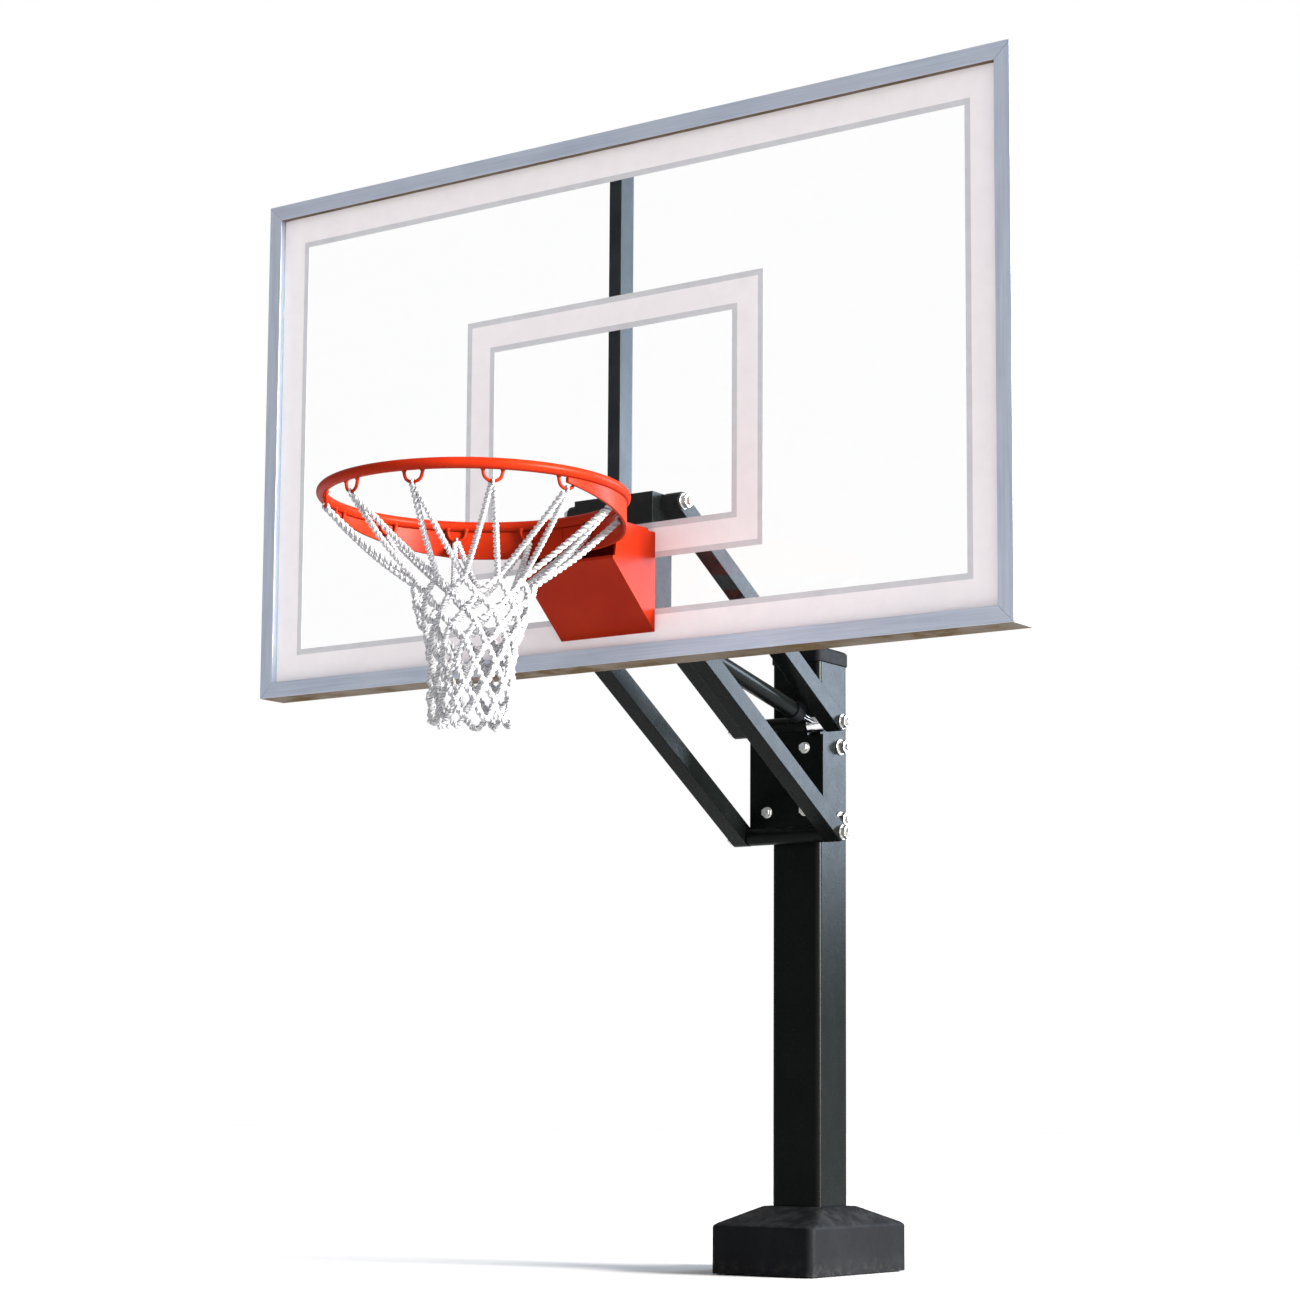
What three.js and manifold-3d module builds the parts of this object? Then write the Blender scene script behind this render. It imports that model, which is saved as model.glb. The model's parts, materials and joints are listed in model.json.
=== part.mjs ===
// Adjustable basketball hoop on a short fixed post. Millimetres, +Z up.
//
// Origin: underside of the base plate, on the post's axis. The backboard faces -Y, and +X is to
// the right of a player who faces it. A parallelogram of four arms carries the backboard, a
// telescoping strut runs across it, and a breakaway rim is hinged to a housing on the board.

import * as THREE from 'three';
import { mergeVertices } from 'three/addons/utils/BufferGeometryUtils.js';
import Module from 'manifold-3d';

const wasm = await Module();
wasm.setup();

// ---------------------------------------------------------------- driving dimensions

const GAP = 0.3;                  // fit gap left between pieces that rest on each other
const REST_ANGLE = THREE.MathUtils.degToRad(31);   // the arms' slope at rest

// Base and post
const PLATE_WIDTH = 180;
const PLATE_DEPTH = 300;
const PLATE_THICK = 12;
const COVER_WIDTH = 214;
const COVER_DEPTH = 336;
const COVER_SIDE = 88;            // height of the cover's upright sides
const COVER_RISE = 32;            // how far its hipped top climbs to the post
const COVER_LEDGE = 13;           // level ledge round the post
const COVER_WALL = 4;
const COVER_CORNER = 15;
const COVER_FOOT = 2;             // the cover's skirt stays clear of the ground
const POST_SIZE = 101.6;
const POST_WALL = 4.8;
const POST_CORNER = 10;
const POST_TOP = 1107;
const CAP_HEIGHT = 30;
const CAP_LIP = 3;                // how far the cap stands out round the post
const ANCHOR_INSET = 22;          // from the plate's edges
const ANCHOR_DIA = 16;

// Arms and pivots
const ARM_SIZE = 33;              // square tube
const ARM_WALL = 2.5;
const ARM_LENGTH = 602;           // pivot to pivot
const PIVOT_SPACING = 200;        // upper pivot above lower pivot
const PIVOT_TOP_Z = 987;          // rear upper pivot
const PIVOT_DIA = 16;
const BORE_CLEAR = 0.35;          // on the radius
const SWING_GAP = 2.5;            // arm ends clear the plate behind them
const SIDE_GAP = 1.5;             // between an arm and what it swings beside
const SLEEVE_DIA = 32;
const HEX_ACROSS = 25;            // pivot bolt head, across its corners
const HEAD_THICK = 9;

// Post bracket: a saddle bolted across the post, and a plate with the pivot sleeves on its front
const SADDLE_THICK = 6;
const SADDLE_REACH = 34;          // the saddle's sides run this far behind the post's axis
const SADDLE_INSET = 12;          // the saddle's ends inside the pivots' heights
const PIVOT_PLATE_WIDTH = 156;
const PIVOT_PLATE_THICK = 6;
const STRUT_NOTCH = 5;            // plate cut away under the strut's eye
const RIB_X = 40;                 // ribs between the saddle and the plate
const RIB_WIDTH = 18;
const RIB_CLEAR = 3;              // rib ends clear the sleeves
const PLATE_BOLT_DIA = 10;
const PLATE_BOLT_INSET = 27;      // from the sleeves
const CROSS_BOLT_DIA = 14;
const CROSS_BOLT_Y = 12;          // behind the post's axis
const CROSS_BOLT_INSET = 33;      // from the pivots' heights

// Strut
const STRUT_TUBE_DIA = 31;
const STRUT_TUBE_WALL = 1.7;
const STRUT_ROD_DIA = 12;
const STRUT_EYE_DIA = 30;
const STRUT_EYE_WIDTH = 22;
const STRUT_SHOWN = 46;           // rod that shows between the collar and the rear eye
const COLLAR_DIA = 36;
const COLLAR_LENGTH = 24;

// Backboard
const BOARD_WIDTH = 1524;
const BOARD_HEIGHT = 914.4;
const RAIL_FACE = 28;             // width of the frame's front face
const RAIL_DEPTH = 64;
const RAIL_WALL = 2.5;
const SLOT_DEPTH = 10;
const GLASS_THICK = 12;
const GLASS_SETBACK = 12.7;
const GLASS_PLAY = 0.8;           // round the glass in its slot
const GLASS_EDGE = 8;             // how far the glass enters the slot
const PIVOT_SETBACK = 66;         // front pivots behind the board's front
const PIVOT_ABOVE_EDGE = 73;      // lower front pivot above the board's bottom edge
const SUPPORT_WIDTH = 25;
const SUPPORT_DEPTH = 37;
const SUPPORT_WALL = 2;
const CHANNEL_WIDTH = 160;        // the arms run just outside the channel's flanges
const CHANNEL_THICK = 5;
const CHANNEL_BEHIND = 17;        // channel flanges behind the front pivots
const CHANNEL_ABOVE = 15;         // channel above the upper front pivot
const SPACER_WALL = 5;

// Rim
const RING_INSIDE = 457.2;
const RING_ROD = 17.5;
const RING_REACH = 352;           // ring centre in front of the board
const RING_ABOVE_EDGE = 218;      // ring above the board's bottom edge
const HOOK_COUNT = 12;
const HOOK_WIDTH = 30;
const HOOK_DROP = 20;
const HOOK_WIRE = 5.2;
const HOOK_CLEAR = 1;             // hooks hang just inside the brace
const BRACE_THICK = 5;
const BRACE_HEIGHT = 45;
const BRACE_TIP = 8;
const BRACE_CLEAR = 4;            // housing's front behind the brace
const BRACE_SWING = 8;            // housing's front edge under the brace
const HOUSING_WIDTH = 190;
const HOUSING_WALL = 4;
const HOUSING_FOOT = 47;          // housing's foot above the board's bottom edge
const HOUSING_LIP = 104;          // climb from the foot to the front lower edge
const TOP_PLATE_WIDTH = 168;
const TOP_PLATE_THICK = 6;
const HINGE_REACH = 91;           // hinge pin from the board's front
const HINGE_DROP = 14;            // hinge pin under the ring's plane
const HINGE_PIN = 10;
const KNUCKLE_DIA = 20;
const KNUCKLE_X = 65;
const KNUCKLE_WIDTH = 20;
const SPRING_X = 35;
const SPRING_DIA = 14.6;          // middle of the coil
const SPRING_WIRE = 2.4;
const SPRING_TURNS = 5;
const RIM_BOLT_X = 63.5;
const RIM_BOLT_SPACING = 101.6;
const RIM_BOLT_ABOVE = 27;        // lower rim bolts above the housing's foot
const RIM_BOLT_DIA = 10;

// Net: its top is set in from the ring, and the rest is radius and depth under the hooks
const NET_INSET = 7.6;
const NET_OUTLINE = [[180, 37], [98, 115], [86, 152], [72, 197], [62, 236], [65, 288], [65, 333]];
const NET_THICK = 6;

// ---------------------------------------------------------------- places worked out from them

const postHalf = POST_SIZE / 2;
const plateTop = PLATE_THICK;
const saddleBack = -postHalf - GAP;
const saddleFront = saddleBack - SADDLE_THICK;
const rearPivotY = saddleFront - SWING_GAP - Math.max(ARM_SIZE, SLEEVE_DIA) / 2;
const rearTopZ = PIVOT_TOP_Z;
const rearLowZ = PIVOT_TOP_Z - PIVOT_SPACING;
const frontPivotY = rearPivotY - ARM_LENGTH * Math.cos(REST_ANGLE);
const frontTopZ = rearTopZ + ARM_LENGTH * Math.sin(REST_ANGLE);
const frontLowZ = frontTopZ - PIVOT_SPACING;
const flangeOutside = CHANNEL_WIDTH / 2;
const armInside = flangeOutside + SIDE_GAP;
const armOutside = armInside + ARM_SIZE;
const armX = (armInside + armOutside) / 2;
const flangeInside = flangeOutside - CHANNEL_THICK;
const boreRadius = PIVOT_DIA / 2 + BORE_CLEAR;
const strutX = flangeInside - SIDE_GAP - Math.max(STRUT_TUBE_DIA, STRUT_EYE_WIDTH) / 2;

const strutEyeLeft = strutX - STRUT_EYE_WIDTH / 2 - 1;
const saddleHalf = postHalf + GAP + SADDLE_THICK;
const crossBoltLevels = [rearLowZ + CROSS_BOLT_INSET, rearTopZ - CROSS_BOLT_INSET];
const plateBoltPlaces = [
  rearLowZ + SLEEVE_DIA / 2 + PLATE_BOLT_INSET,
  rearTopZ - SLEEVE_DIA / 2 - PLATE_BOLT_INSET,
].flatMap((z) => [[-RIB_X, z], [RIB_X, z]]);

const boardFront = frontPivotY - PIVOT_SETBACK;
const boardBottom = frontLowZ - PIVOT_ABOVE_EDGE;
const boardMiddle = boardBottom + BOARD_HEIGHT / 2;
const glassFront = boardFront + GLASS_SETBACK;
const glassBack = glassFront + GLASS_THICK;
const channelFront = glassBack + GAP;
const channelBack = channelFront + CHANNEL_THICK;
const channelBottom = boardBottom + RAIL_FACE + GAP;
const channelTop = frontTopZ + CHANNEL_ABOVE;

const ringZ = boardBottom + RING_ABOVE_EDGE;
const ringY = boardFront - RING_REACH;
const ringRadius = (RING_INSIDE + RING_ROD) / 2;
const ringOutside = RING_INSIDE / 2 + RING_ROD;
const hingeY = boardFront - HINGE_REACH;
const hingeZ = ringZ - HINGE_DROP;
const topPlateBottom = ringZ - TOP_PLATE_THICK / 2;
const housingBack = glassFront - GAP;
const housingFoot = boardBottom + HOUSING_FOOT;
const housingTop = topPlateBottom - 1.5;
const housingLip = housingFoot + HOUSING_LIP;
const braceInside = ringRadius - BRACE_THICK / 2;
const braceTop = -RING_ROD / 2 - GAP;      // from the ring's plane
const housingFront = ringY + braceInside + BRACE_THICK + BRACE_CLEAR;
const hookRadius = braceInside - HOOK_CLEAR - HOOK_WIRE / 2;
const hookTop = RING_ROD / 2 - 3;
const hookFoot = hookTop + HOOK_DROP + HOOK_WIRE / 2;
const rimBoltLow = housingFoot + RIM_BOLT_ABOVE;

// ---------------------------------------------------------------- solids

// A closed mesh as a solid that can be cut and joined.
function solid(geometry) {
  const bare = geometry.index ? geometry.clone() : geometry;
  bare.deleteAttribute('normal');
  bare.deleteAttribute('uv');
  const merged = mergeVertices(bare, 1e-4);
  const mesh = new wasm.Mesh({
    numProp: 3,
    vertProperties: new Float32Array(merged.attributes.position.array),
    triVerts: new Uint32Array(merged.index.array),
  });
  return new wasm.Manifold(mesh);
}

// A solid back to geometry.
function geometryOf(body) {
  const mesh = body.getMesh();
  const geometry = new THREE.BufferGeometry();
  geometry.setAttribute('position', new THREE.BufferAttribute(mesh.vertProperties, 3));
  geometry.setIndex(new THREE.BufferAttribute(mesh.triVerts, 1));
  geometry.computeVertexNormals();
  return geometry;
}

function join(first, ...others) {
  return geometryOf(others.reduce((body, other) => body.add(solid(other)), solid(first)));
}

function cut(first, ...others) {
  return geometryOf(others.reduce((body, other) => body.subtract(solid(other)), solid(first)));
}

// A box between two corners.
function box(x0, x1, y0, y1, z0, z1) {
  const geometry = new THREE.BoxGeometry(x1 - x0, y1 - y0, z1 - z0);
  return geometry.translate((x0 + x1) / 2, (y0 + y1) / 2, (z0 + z1) / 2);
}

// Round bars along each axis. Six sides make a hexagon.
function barX(radius, x0, x1, y, z, sides = 16) {
  const geometry = new THREE.CylinderGeometry(radius, radius, x1 - x0, sides);
  return geometry.rotateZ(Math.PI / 2).translate((x0 + x1) / 2, y, z);
}

function barY(radius, y0, y1, x, z, sides = 12) {
  const geometry = new THREE.CylinderGeometry(radius, radius, y1 - y0, sides);
  return geometry.translate(x, (y0 + y1) / 2, z);
}

function barZ(radius, z0, z1, x, y, sides = 12) {
  const geometry = new THREE.CylinderGeometry(radius, radius, z1 - z0, sides);
  return geometry.rotateX(Math.PI / 2).translate(x, y, (z0 + z1) / 2);
}

function crossBoltHoles() {
  const radius = CROSS_BOLT_DIA / 2 + 0.5;
  return crossBoltLevels.map((z) => (
    barX(radius, -saddleHalf - 1, saddleHalf + 1, CROSS_BOLT_Y, z)));
}

function plateBoltHoles(y0, y1) {
  return plateBoltPlaces.map(([x, z]) => barY(PLATE_BOLT_DIA / 2 + 0.5, y0, y1, x, z));
}

// A rectangle with rounded corners, about the origin.
function roundedRectangle(width, height, radius) {
  const shape = new THREE.Shape();
  const x = width / 2 - radius;
  const y = height / 2 - radius;
  shape.absarc(x, -y, radius, -Math.PI / 2, 0);
  shape.absarc(x, y, radius, 0, Math.PI / 2);
  shape.absarc(-x, y, radius, Math.PI / 2, Math.PI);
  shape.absarc(-x, -y, radius, Math.PI, Math.PI * 1.5);
  return shape;
}

// A rounded rectangle raised from z0 to z1.
function roundedBox(width, height, radius, z0, z1, steps = 2) {
  const options = { depth: z1 - z0, bevelEnabled: false, curveSegments: steps };
  return new THREE.ExtrudeGeometry(roundedRectangle(width, height, radius), options)
    .translate(0, 0, z0);
}

// An outline in the Y-Z plane, given as [y, z] points, between two X planes.
function sideProfile(points, x0, x1) {
  const shape = new THREE.Shape(points.map(([y, z]) => new THREE.Vector2(y, z)));
  const geometry = new THREE.ExtrudeGeometry(shape, { depth: x1 - x0, bevelEnabled: false });
  return geometry.rotateX(Math.PI / 2).rotateZ(Math.PI / 2).translate(x0, 0, 0);
}

// ---------------------------------------------------------------- materials and the scene

const finish = (color, roughness, metalness) => new THREE.MeshStandardMaterial({
  color, roughness, metalness,
});
const BLACK_STEEL = finish(0x15181c, 0.45, 0.6);
const BLACK_PLASTIC = finish(0x1c2026, 0.55, 0);
const ZINC = finish(0xb9bcc0, 0.35, 1);
const CHROME = finish(0xd8dadc, 0.12, 1);
const ALUMINIUM = finish(0xc3c8d6, 0.35, 1);
const GLASS = finish(0xe9f1f3, 0.05, 0);
const ORANGE = finish(0xc8381c, 0.4, 0.2);
const WHITE_CORD = finish(0xe4e6ea, 0.9, 0);

const hoop = new THREE.Group();

function add(name, geometry, material, parent = hoop) {
  const mesh = new THREE.Mesh(geometry, material);
  mesh.name = name;
  parent.add(mesh);
  return mesh;
}

// ---------------------------------------------------------------- base and post

function basePlate() {
  const holes = anchorPlaces().map(([x, y]) => barZ(ANCHOR_DIA / 2 + 1, -1, plateTop + 1, x, y));
  return cut(roundedBox(PLATE_WIDTH, PLATE_DEPTH, 12, 0, plateTop), ...holes);
}

function anchorPlaces() {
  const x = PLATE_WIDTH / 2 - ANCHOR_INSET;
  const y = PLATE_DEPTH / 2 - ANCHOR_INSET;
  return [[-x, -y], [x, -y], [x, y], [-x, y]];
}

// Anchor bolt: shank through the plate, a round washer and a hexagon head.
function anchorBolt(x, y) {
  const seat = plateTop + GAP;
  return join(
    barZ(ANCHOR_DIA / 2, 1, seat + 6, x, y),
    barZ(ANCHOR_DIA, seat, seat + 3, x, y),
    barZ(ANCHOR_DIA * 0.85, seat + 2.9, seat + 14, x, y, 6),
  );
}

// A frustum: a rounded rectangle below, drawn in to another size above.
function hippedTop(width, depth, corner, z0, rise, topWidth, topDepth) {
  const geometry = roundedBox(width, depth, corner, 0, 1);
  const place = geometry.attributes.position;
  for (let i = 0; i < place.count; i++) {
    const top = place.getZ(i) > 0.5;
    const scaleX = top ? topWidth / width : 1;
    const scaleY = top ? topDepth / depth : 1;
    place.setXYZ(i, place.getX(i) * scaleX, place.getY(i) * scaleY, z0 + (top ? rise : 0));
  }
  return geometry;
}

// The cover's outline, drawn in on every side: upright sides and a hipped top.
function coverForm(inset, floor, lower) {
  const width = COVER_WIDTH - 2 * inset;
  const depth = COVER_DEPTH - 2 * inset;
  const corner = COVER_CORNER - inset;
  const top = POST_SIZE + 2 * COVER_LEDGE - 2 * inset;
  const shoulder = COVER_SIDE - lower;
  return solid(roundedBox(width, depth, corner, floor, shoulder))
    .add(solid(hippedTop(width, depth, corner, shoulder - 0.01, COVER_RISE, top, top)));
}

// Moulded cover, hollow below, with a hole for the post.
function baseCover() {
  const hole = POST_SIZE + 2 * GAP;
  const opening = roundedBox(hole, hole, POST_CORNER, 0, COVER_SIDE + COVER_RISE + 1);
  return geometryOf(coverForm(0, COVER_FOOT, 0)
    .subtract(coverForm(COVER_WALL, -1, COVER_WALL))
    .subtract(solid(opening)));
}

function post() {
  const inside = POST_SIZE - 2 * POST_WALL;
  const innerCorner = Math.max(1, POST_CORNER - POST_WALL);
  const z0 = plateTop + GAP;
  return cut(
    roundedBox(POST_SIZE, POST_SIZE, POST_CORNER, z0, POST_TOP),
    roundedBox(inside, inside, innerCorner, z0 - 1, POST_TOP + 1),
    ...crossBoltHoles(),
  );
}

// Moulded cap: a rim round the post's top, a plug inside it and a low crown.
function postCap() {
  const size = POST_SIZE + 2 * CAP_LIP;
  const z0 = POST_TOP + GAP;
  const plug = POST_SIZE - 2 * POST_WALL - 2 * GAP;
  const crown = z0 + CAP_HEIGHT - 8;
  return join(
    roundedBox(size, size, POST_CORNER + CAP_LIP, z0, crown),
    hippedTop(size, size, POST_CORNER + CAP_LIP, crown - 0.01, 8, size - 22, size - 22),
    roundedBox(plug, plug, Math.max(1, POST_CORNER - POST_WALL), z0 - 22, z0 + 1),
  );
}

add('base_plate', basePlate(), BLACK_STEEL);
add('base_cover', baseCover(), BLACK_PLASTIC);
add('post', post(), BLACK_STEEL);
add('post_cap', postCap(), BLACK_PLASTIC);
anchorPlaces().forEach(([x, y], i) => add(`anchor_bolt_${i + 1}`, anchorBolt(x, y), ZINC));

// ---------------------------------------------------------------- bracket on the post

// U-shaped saddle round the post's front and sides, with two ribs that carry the pivot plate.
function postSaddle() {
  const outside = saddleHalf;
  const inside = postHalf + GAP;
  const z0 = rearLowZ + SADDLE_INSET;
  const z1 = rearTopZ - SADDLE_INSET;
  const ribLow = rearLowZ + SLEEVE_DIA / 2 + RIB_CLEAR;
  const ribHigh = rearTopZ - Math.max(SLEEVE_DIA, STRUT_EYE_DIA) / 2 - RIB_CLEAR;
  const ribs = [-RIB_X, RIB_X].map((x) => (
    box(x - RIB_WIDTH / 2, x + RIB_WIDTH / 2, rearPivotY + GAP, saddleFront + 1, ribLow, ribHigh)));
  const body = join(box(-outside, outside, saddleFront, SADDLE_REACH, z0, z1), ...ribs);
  return cut(
    body,
    box(-inside, inside, saddleBack, SADDLE_REACH + 1, z0 - 1, z1 + 1),
    ...crossBoltHoles(),
    ...plateBoltHoles(rearPivotY - 1, saddleBack + 1),
  );
}

// Plate between the two pivot sleeves. The upper sleeve and the plate's corner under it stop
// short of the strut's eye.
function armBracket() {
  const half = PIVOT_PLATE_WIDTH / 2;
  const sleeve = SLEEVE_DIA / 2;
  const sleeveEnd = armInside - SIDE_GAP;
  const front = rearPivotY - PIVOT_PLATE_THICK;
  const low = rearLowZ + sleeve - 3;
  const notch = rearTopZ - STRUT_EYE_DIA / 2 - STRUT_NOTCH;
  const body = join(
    box(-half, half, front, rearPivotY, low, notch),
    box(-half, strutEyeLeft - 1, front, rearPivotY, notch - 1, rearTopZ - sleeve + 3),
    barX(sleeve, -sleeveEnd, strutEyeLeft - 1, rearPivotY, rearTopZ, 24),
    barX(sleeve, -sleeveEnd, sleeveEnd, rearPivotY, rearLowZ, 24),
  );
  const bores = [rearTopZ, rearLowZ].map((z) => (
    barX(boreRadius, -sleeveEnd - 1, sleeveEnd + 1, rearPivotY, z)));
  return cut(body, ...bores, ...plateBoltHoles(front - 1, rearPivotY + 1));
}

// Plate bolt: washer and hexagon head in front of the plate, shank in the rib.
function plateBolt(x, z) {
  const front = rearPivotY - PIVOT_PLATE_THICK - GAP;
  const radius = PLATE_BOLT_DIA / 2;
  return join(
    barY(radius, front - 1, saddleFront - 1, x, z),
    barY(radius * 2.1, front - 2, front, x, z, 16),
    barY(radius * 1.8, front - 9, front - 1.9, x, z, 6),
  );
}

// Cross bolt: through the saddle's sides and the post, head on the left and nut on the right.
function crossBolt(z) {
  const end = saddleHalf + GAP;
  const radius = CROSS_BOLT_DIA / 2;
  return join(
    barX(radius, -end - 1, end + 20, CROSS_BOLT_Y, z),
    barX(radius * 1.8, -end - 9, -end, CROSS_BOLT_Y, z, 6),
    barX(radius * 2.1, end, end + 2.5, CROSS_BOLT_Y, z, 20),
    barX(radius * 1.8, end + 2.4, end + 14, CROSS_BOLT_Y, z, 6),
  );
}

add('post_saddle', postSaddle(), BLACK_STEEL);
add('arm_bracket', armBracket(), BLACK_STEEL);
plateBoltPlaces.forEach(([x, z], i) => add(`plate_bolt_${i + 1}`, plateBolt(x, z), ZINC));
add('cross_bolt_lower', crossBolt(crossBoltLevels[0]), ZINC);
add('cross_bolt_upper', crossBolt(crossBoltLevels[1]), ZINC);

// ---------------------------------------------------------------- pivot bolts

// Through bolt along X with a hexagon head on the left, and a washer and nut on the right.
function pivotBolt(y, z) {
  const end = armOutside + GAP;
  return join(
    barX(PIVOT_DIA / 2, -end - 1, end + HEAD_THICK + 8, y, z),
    barX(HEX_ACROSS / 2, -end - HEAD_THICK, -end, y, z, 6),
    barX(HEX_ACROSS / 2 + 1, end, end + 2, y, z),
    barX(HEX_ACROSS / 2, end + 1.9, end + 1.9 + HEAD_THICK, y, z, 6),
  );
}

add('rear_upper_bolt', pivotBolt(rearPivotY, rearTopZ), ZINC);
add('rear_lower_bolt', pivotBolt(rearPivotY, rearLowZ), ZINC);
add('front_upper_bolt', pivotBolt(frontPivotY, frontTopZ), ZINC);
add('front_lower_bolt', pivotBolt(frontPivotY, frontLowZ), ZINC);

// ---------------------------------------------------------------- arms

// Length of a bar with full round ends about both pivots, in the Y-Z plane from the rear pivot.
function roundEndedBar(size, x0, x1) {
  return solid(box(x0, x1, -ARM_LENGTH, 0, -size / 2, size / 2))
    .add(solid(barX(size / 2, x0, x1, 0, 0)))
    .add(solid(barX(size / 2, x0, x1, -ARM_LENGTH, 0)));
}

// Hollow arm: closed round ends, and a bore through both side walls at each pivot.
function arm() {
  const half = ARM_SIZE / 2;
  const hollow = ARM_SIZE - 2 * ARM_WALL;
  const body = roundEndedBar(ARM_SIZE, -half, half)
    .subtract(roundEndedBar(hollow, -hollow / 2, hollow / 2));
  const bores = [0, -ARM_LENGTH].map((y) => solid(barX(boreRadius, -half - 1, half + 1, y, 0)));
  return geometryOf(bores.reduce((rest, bore) => rest.subtract(bore), body));
}

const armShape = arm();
for (const [level, z] of [['upper', rearTopZ], ['lower', rearLowZ]]) {
  for (const [side, x] of [['left', -armX], ['right', armX]]) {
    const mesh = add(`${level}_arm_${side}`, armShape, BLACK_STEEL);
    mesh.position.set(x, rearPivotY, z);
    mesh.rotation.x = -REST_ANGLE;
  }
}

// ---------------------------------------------------------------- strut

const strutRise = frontLowZ - rearTopZ;
const strutRun = frontPivotY - rearPivotY;
const strutLength = Math.hypot(strutRun, strutRise);
const strutSlope = Math.atan2(-strutRise, -strutRun);

// Both halves are drawn along Y, from the rear eye at 0 to the front eye at -strutLength, and
// turned together.
const strut = new THREE.Group();
strut.position.set(strutX, rearPivotY, rearTopZ);
strut.rotation.x = strutSlope;
hoop.add(strut);

const tubeMouth = -STRUT_EYE_DIA / 2 - STRUT_SHOWN;

function eye(y, x0, x1) {
  return barX(STRUT_EYE_DIA / 2, x0, x1, y, 0, 24);
}

function strutRod() {
  const half = STRUT_EYE_WIDTH / 2;
  const wide = armInside - SIDE_GAP - strutX;
  const rodEnd = -strutLength + 150;
  const body = join(eye(0, -half, wide), barY(STRUT_ROD_DIA / 2, rodEnd, -8, 0, 0, 20));
  return cut(body, barX(boreRadius, -half - 1, wide + 1, 0, 0));
}

function strutTube() {
  const half = STRUT_EYE_WIDTH / 2;
  const front = -strutLength;
  const neckEnd = front + Math.max(STRUT_EYE_DIA, PIVOT_DIA + 2 * SPACER_WALL) / 2 + 1;
  const mouth = tubeMouth - COLLAR_LENGTH / 2;
  const inside = STRUT_TUBE_DIA / 2 - STRUT_TUBE_WALL;
  const body = join(
    eye(front, -half, half),
    barY(half - 1, front, neckEnd + 1, 0, 0, 20),
    barY(STRUT_TUBE_DIA / 2, neckEnd, mouth, 0, 0, 24),
  );
  return cut(
    body,
    barY(inside, neckEnd + 6, mouth + 1, 0, 0, 24),
    barX(boreRadius, -half - 1, half + 1, front, 0),
  );
}

// Collar pressed over the tube's mouth, as wide inside as the tube.
function strutCollar() {
  const inside = STRUT_TUBE_DIA / 2 - STRUT_TUBE_WALL;
  const back = tubeMouth;
  const front = tubeMouth - COLLAR_LENGTH;
  return cut(
    barY(COLLAR_DIA / 2, front, back, 0, 0, 24),
    barY(inside, front - 1, back + 1, 0, 0, 24),
    barY(STRUT_TUBE_DIA / 2 + GAP, front - 1, back - COLLAR_LENGTH / 2 + GAP, 0, 0, 24),
  );
}

add('strut_rod', strutRod(), CHROME, strut);
add('strut_tube', strutTube(), BLACK_STEEL, strut);
add('strut_collar', strutCollar(), BLACK_PLASTIC, strut);

// ---------------------------------------------------------------- backboard

// Hollow section across a rail: u runs in from the outer edge, v back from the front face.
function railSection() {
  const slotFront = GLASS_SETBACK - GLASS_PLAY;
  const slotBack = GLASS_SETBACK + GLASS_THICK + GLASS_PLAY;
  const slotFloor = RAIL_FACE - SLOT_DEPTH;
  const outline = [[0, 0], [RAIL_FACE, 0], [RAIL_FACE, slotFront], [slotFloor, slotFront],
    [slotFloor, slotBack], [RAIL_FACE, slotBack], [RAIL_FACE, RAIL_DEPTH], [0, RAIL_DEPTH]];
  const shape = new THREE.Shape(outline.map(([u, v]) => new THREE.Vector2(u, v)));
  const a = RAIL_WALL;
  const b = slotFloor - RAIL_WALL;
  const hollow = [[a, a], [a, RAIL_DEPTH - a], [b, RAIL_DEPTH - a], [b, a]];
  shape.holes.push(new THREE.Path(hollow.map(([u, v]) => new THREE.Vector2(u, v))));
  return shape;
}

// A rail whose ends are mitred: each end is drawn in by as much as the point is inside.
function rail(length) {
  const depth = length;
  const geometry = new THREE.ExtrudeGeometry(railSection(), { depth, bevelEnabled: false });
  const place = geometry.attributes.position;
  for (let i = 0; i < place.count; i++) {
    const inward = place.getX(i) + GAP;
    place.setZ(i, place.getZ(i) > length / 2 ? length - inward : inward);
  }
  geometry.computeVertexNormals();
  return geometry.translate(0, 0, -length / 2);
}

// The frame's rails face the board's middle from each side, turned about the Y axis.
function placeRail(name, length, distance, turn) {
  const holder = new THREE.Group();
  holder.position.set(0, boardFront, boardMiddle);
  holder.rotation.y = turn;
  const mesh = add(name, rail(length), ALUMINIUM, holder);
  mesh.position.x = -distance;
  hoop.add(holder);
}

placeRail('frame_left', BOARD_HEIGHT, BOARD_WIDTH / 2, 0);
placeRail('frame_top', BOARD_WIDTH, BOARD_HEIGHT / 2, Math.PI / 2);
placeRail('frame_right', BOARD_HEIGHT, BOARD_WIDTH / 2, Math.PI);
placeRail('frame_bottom', BOARD_WIDTH, BOARD_HEIGHT / 2, -Math.PI / 2);

const rimBoltPlaces = [rimBoltLow, rimBoltLow + RIM_BOLT_SPACING]
  .flatMap((z) => [[-RIM_BOLT_X, z], [RIM_BOLT_X, z]]);

function rimBoltHoles(y0, y1, clear) {
  return rimBoltPlaces.map(([x, z]) => barY(RIM_BOLT_DIA / 2 + clear, y0, y1, x, z));
}

function glassPanel() {
  const edge = RAIL_FACE - GLASS_EDGE;
  const halfWidth = BOARD_WIDTH / 2 - edge;
  const panel = box(-halfWidth, halfWidth, glassFront, glassBack,
    boardBottom + edge, boardBottom + BOARD_HEIGHT - edge);
  return cut(panel, ...rimBoltHoles(glassFront - 1, glassBack + 1, 1));
}

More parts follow.
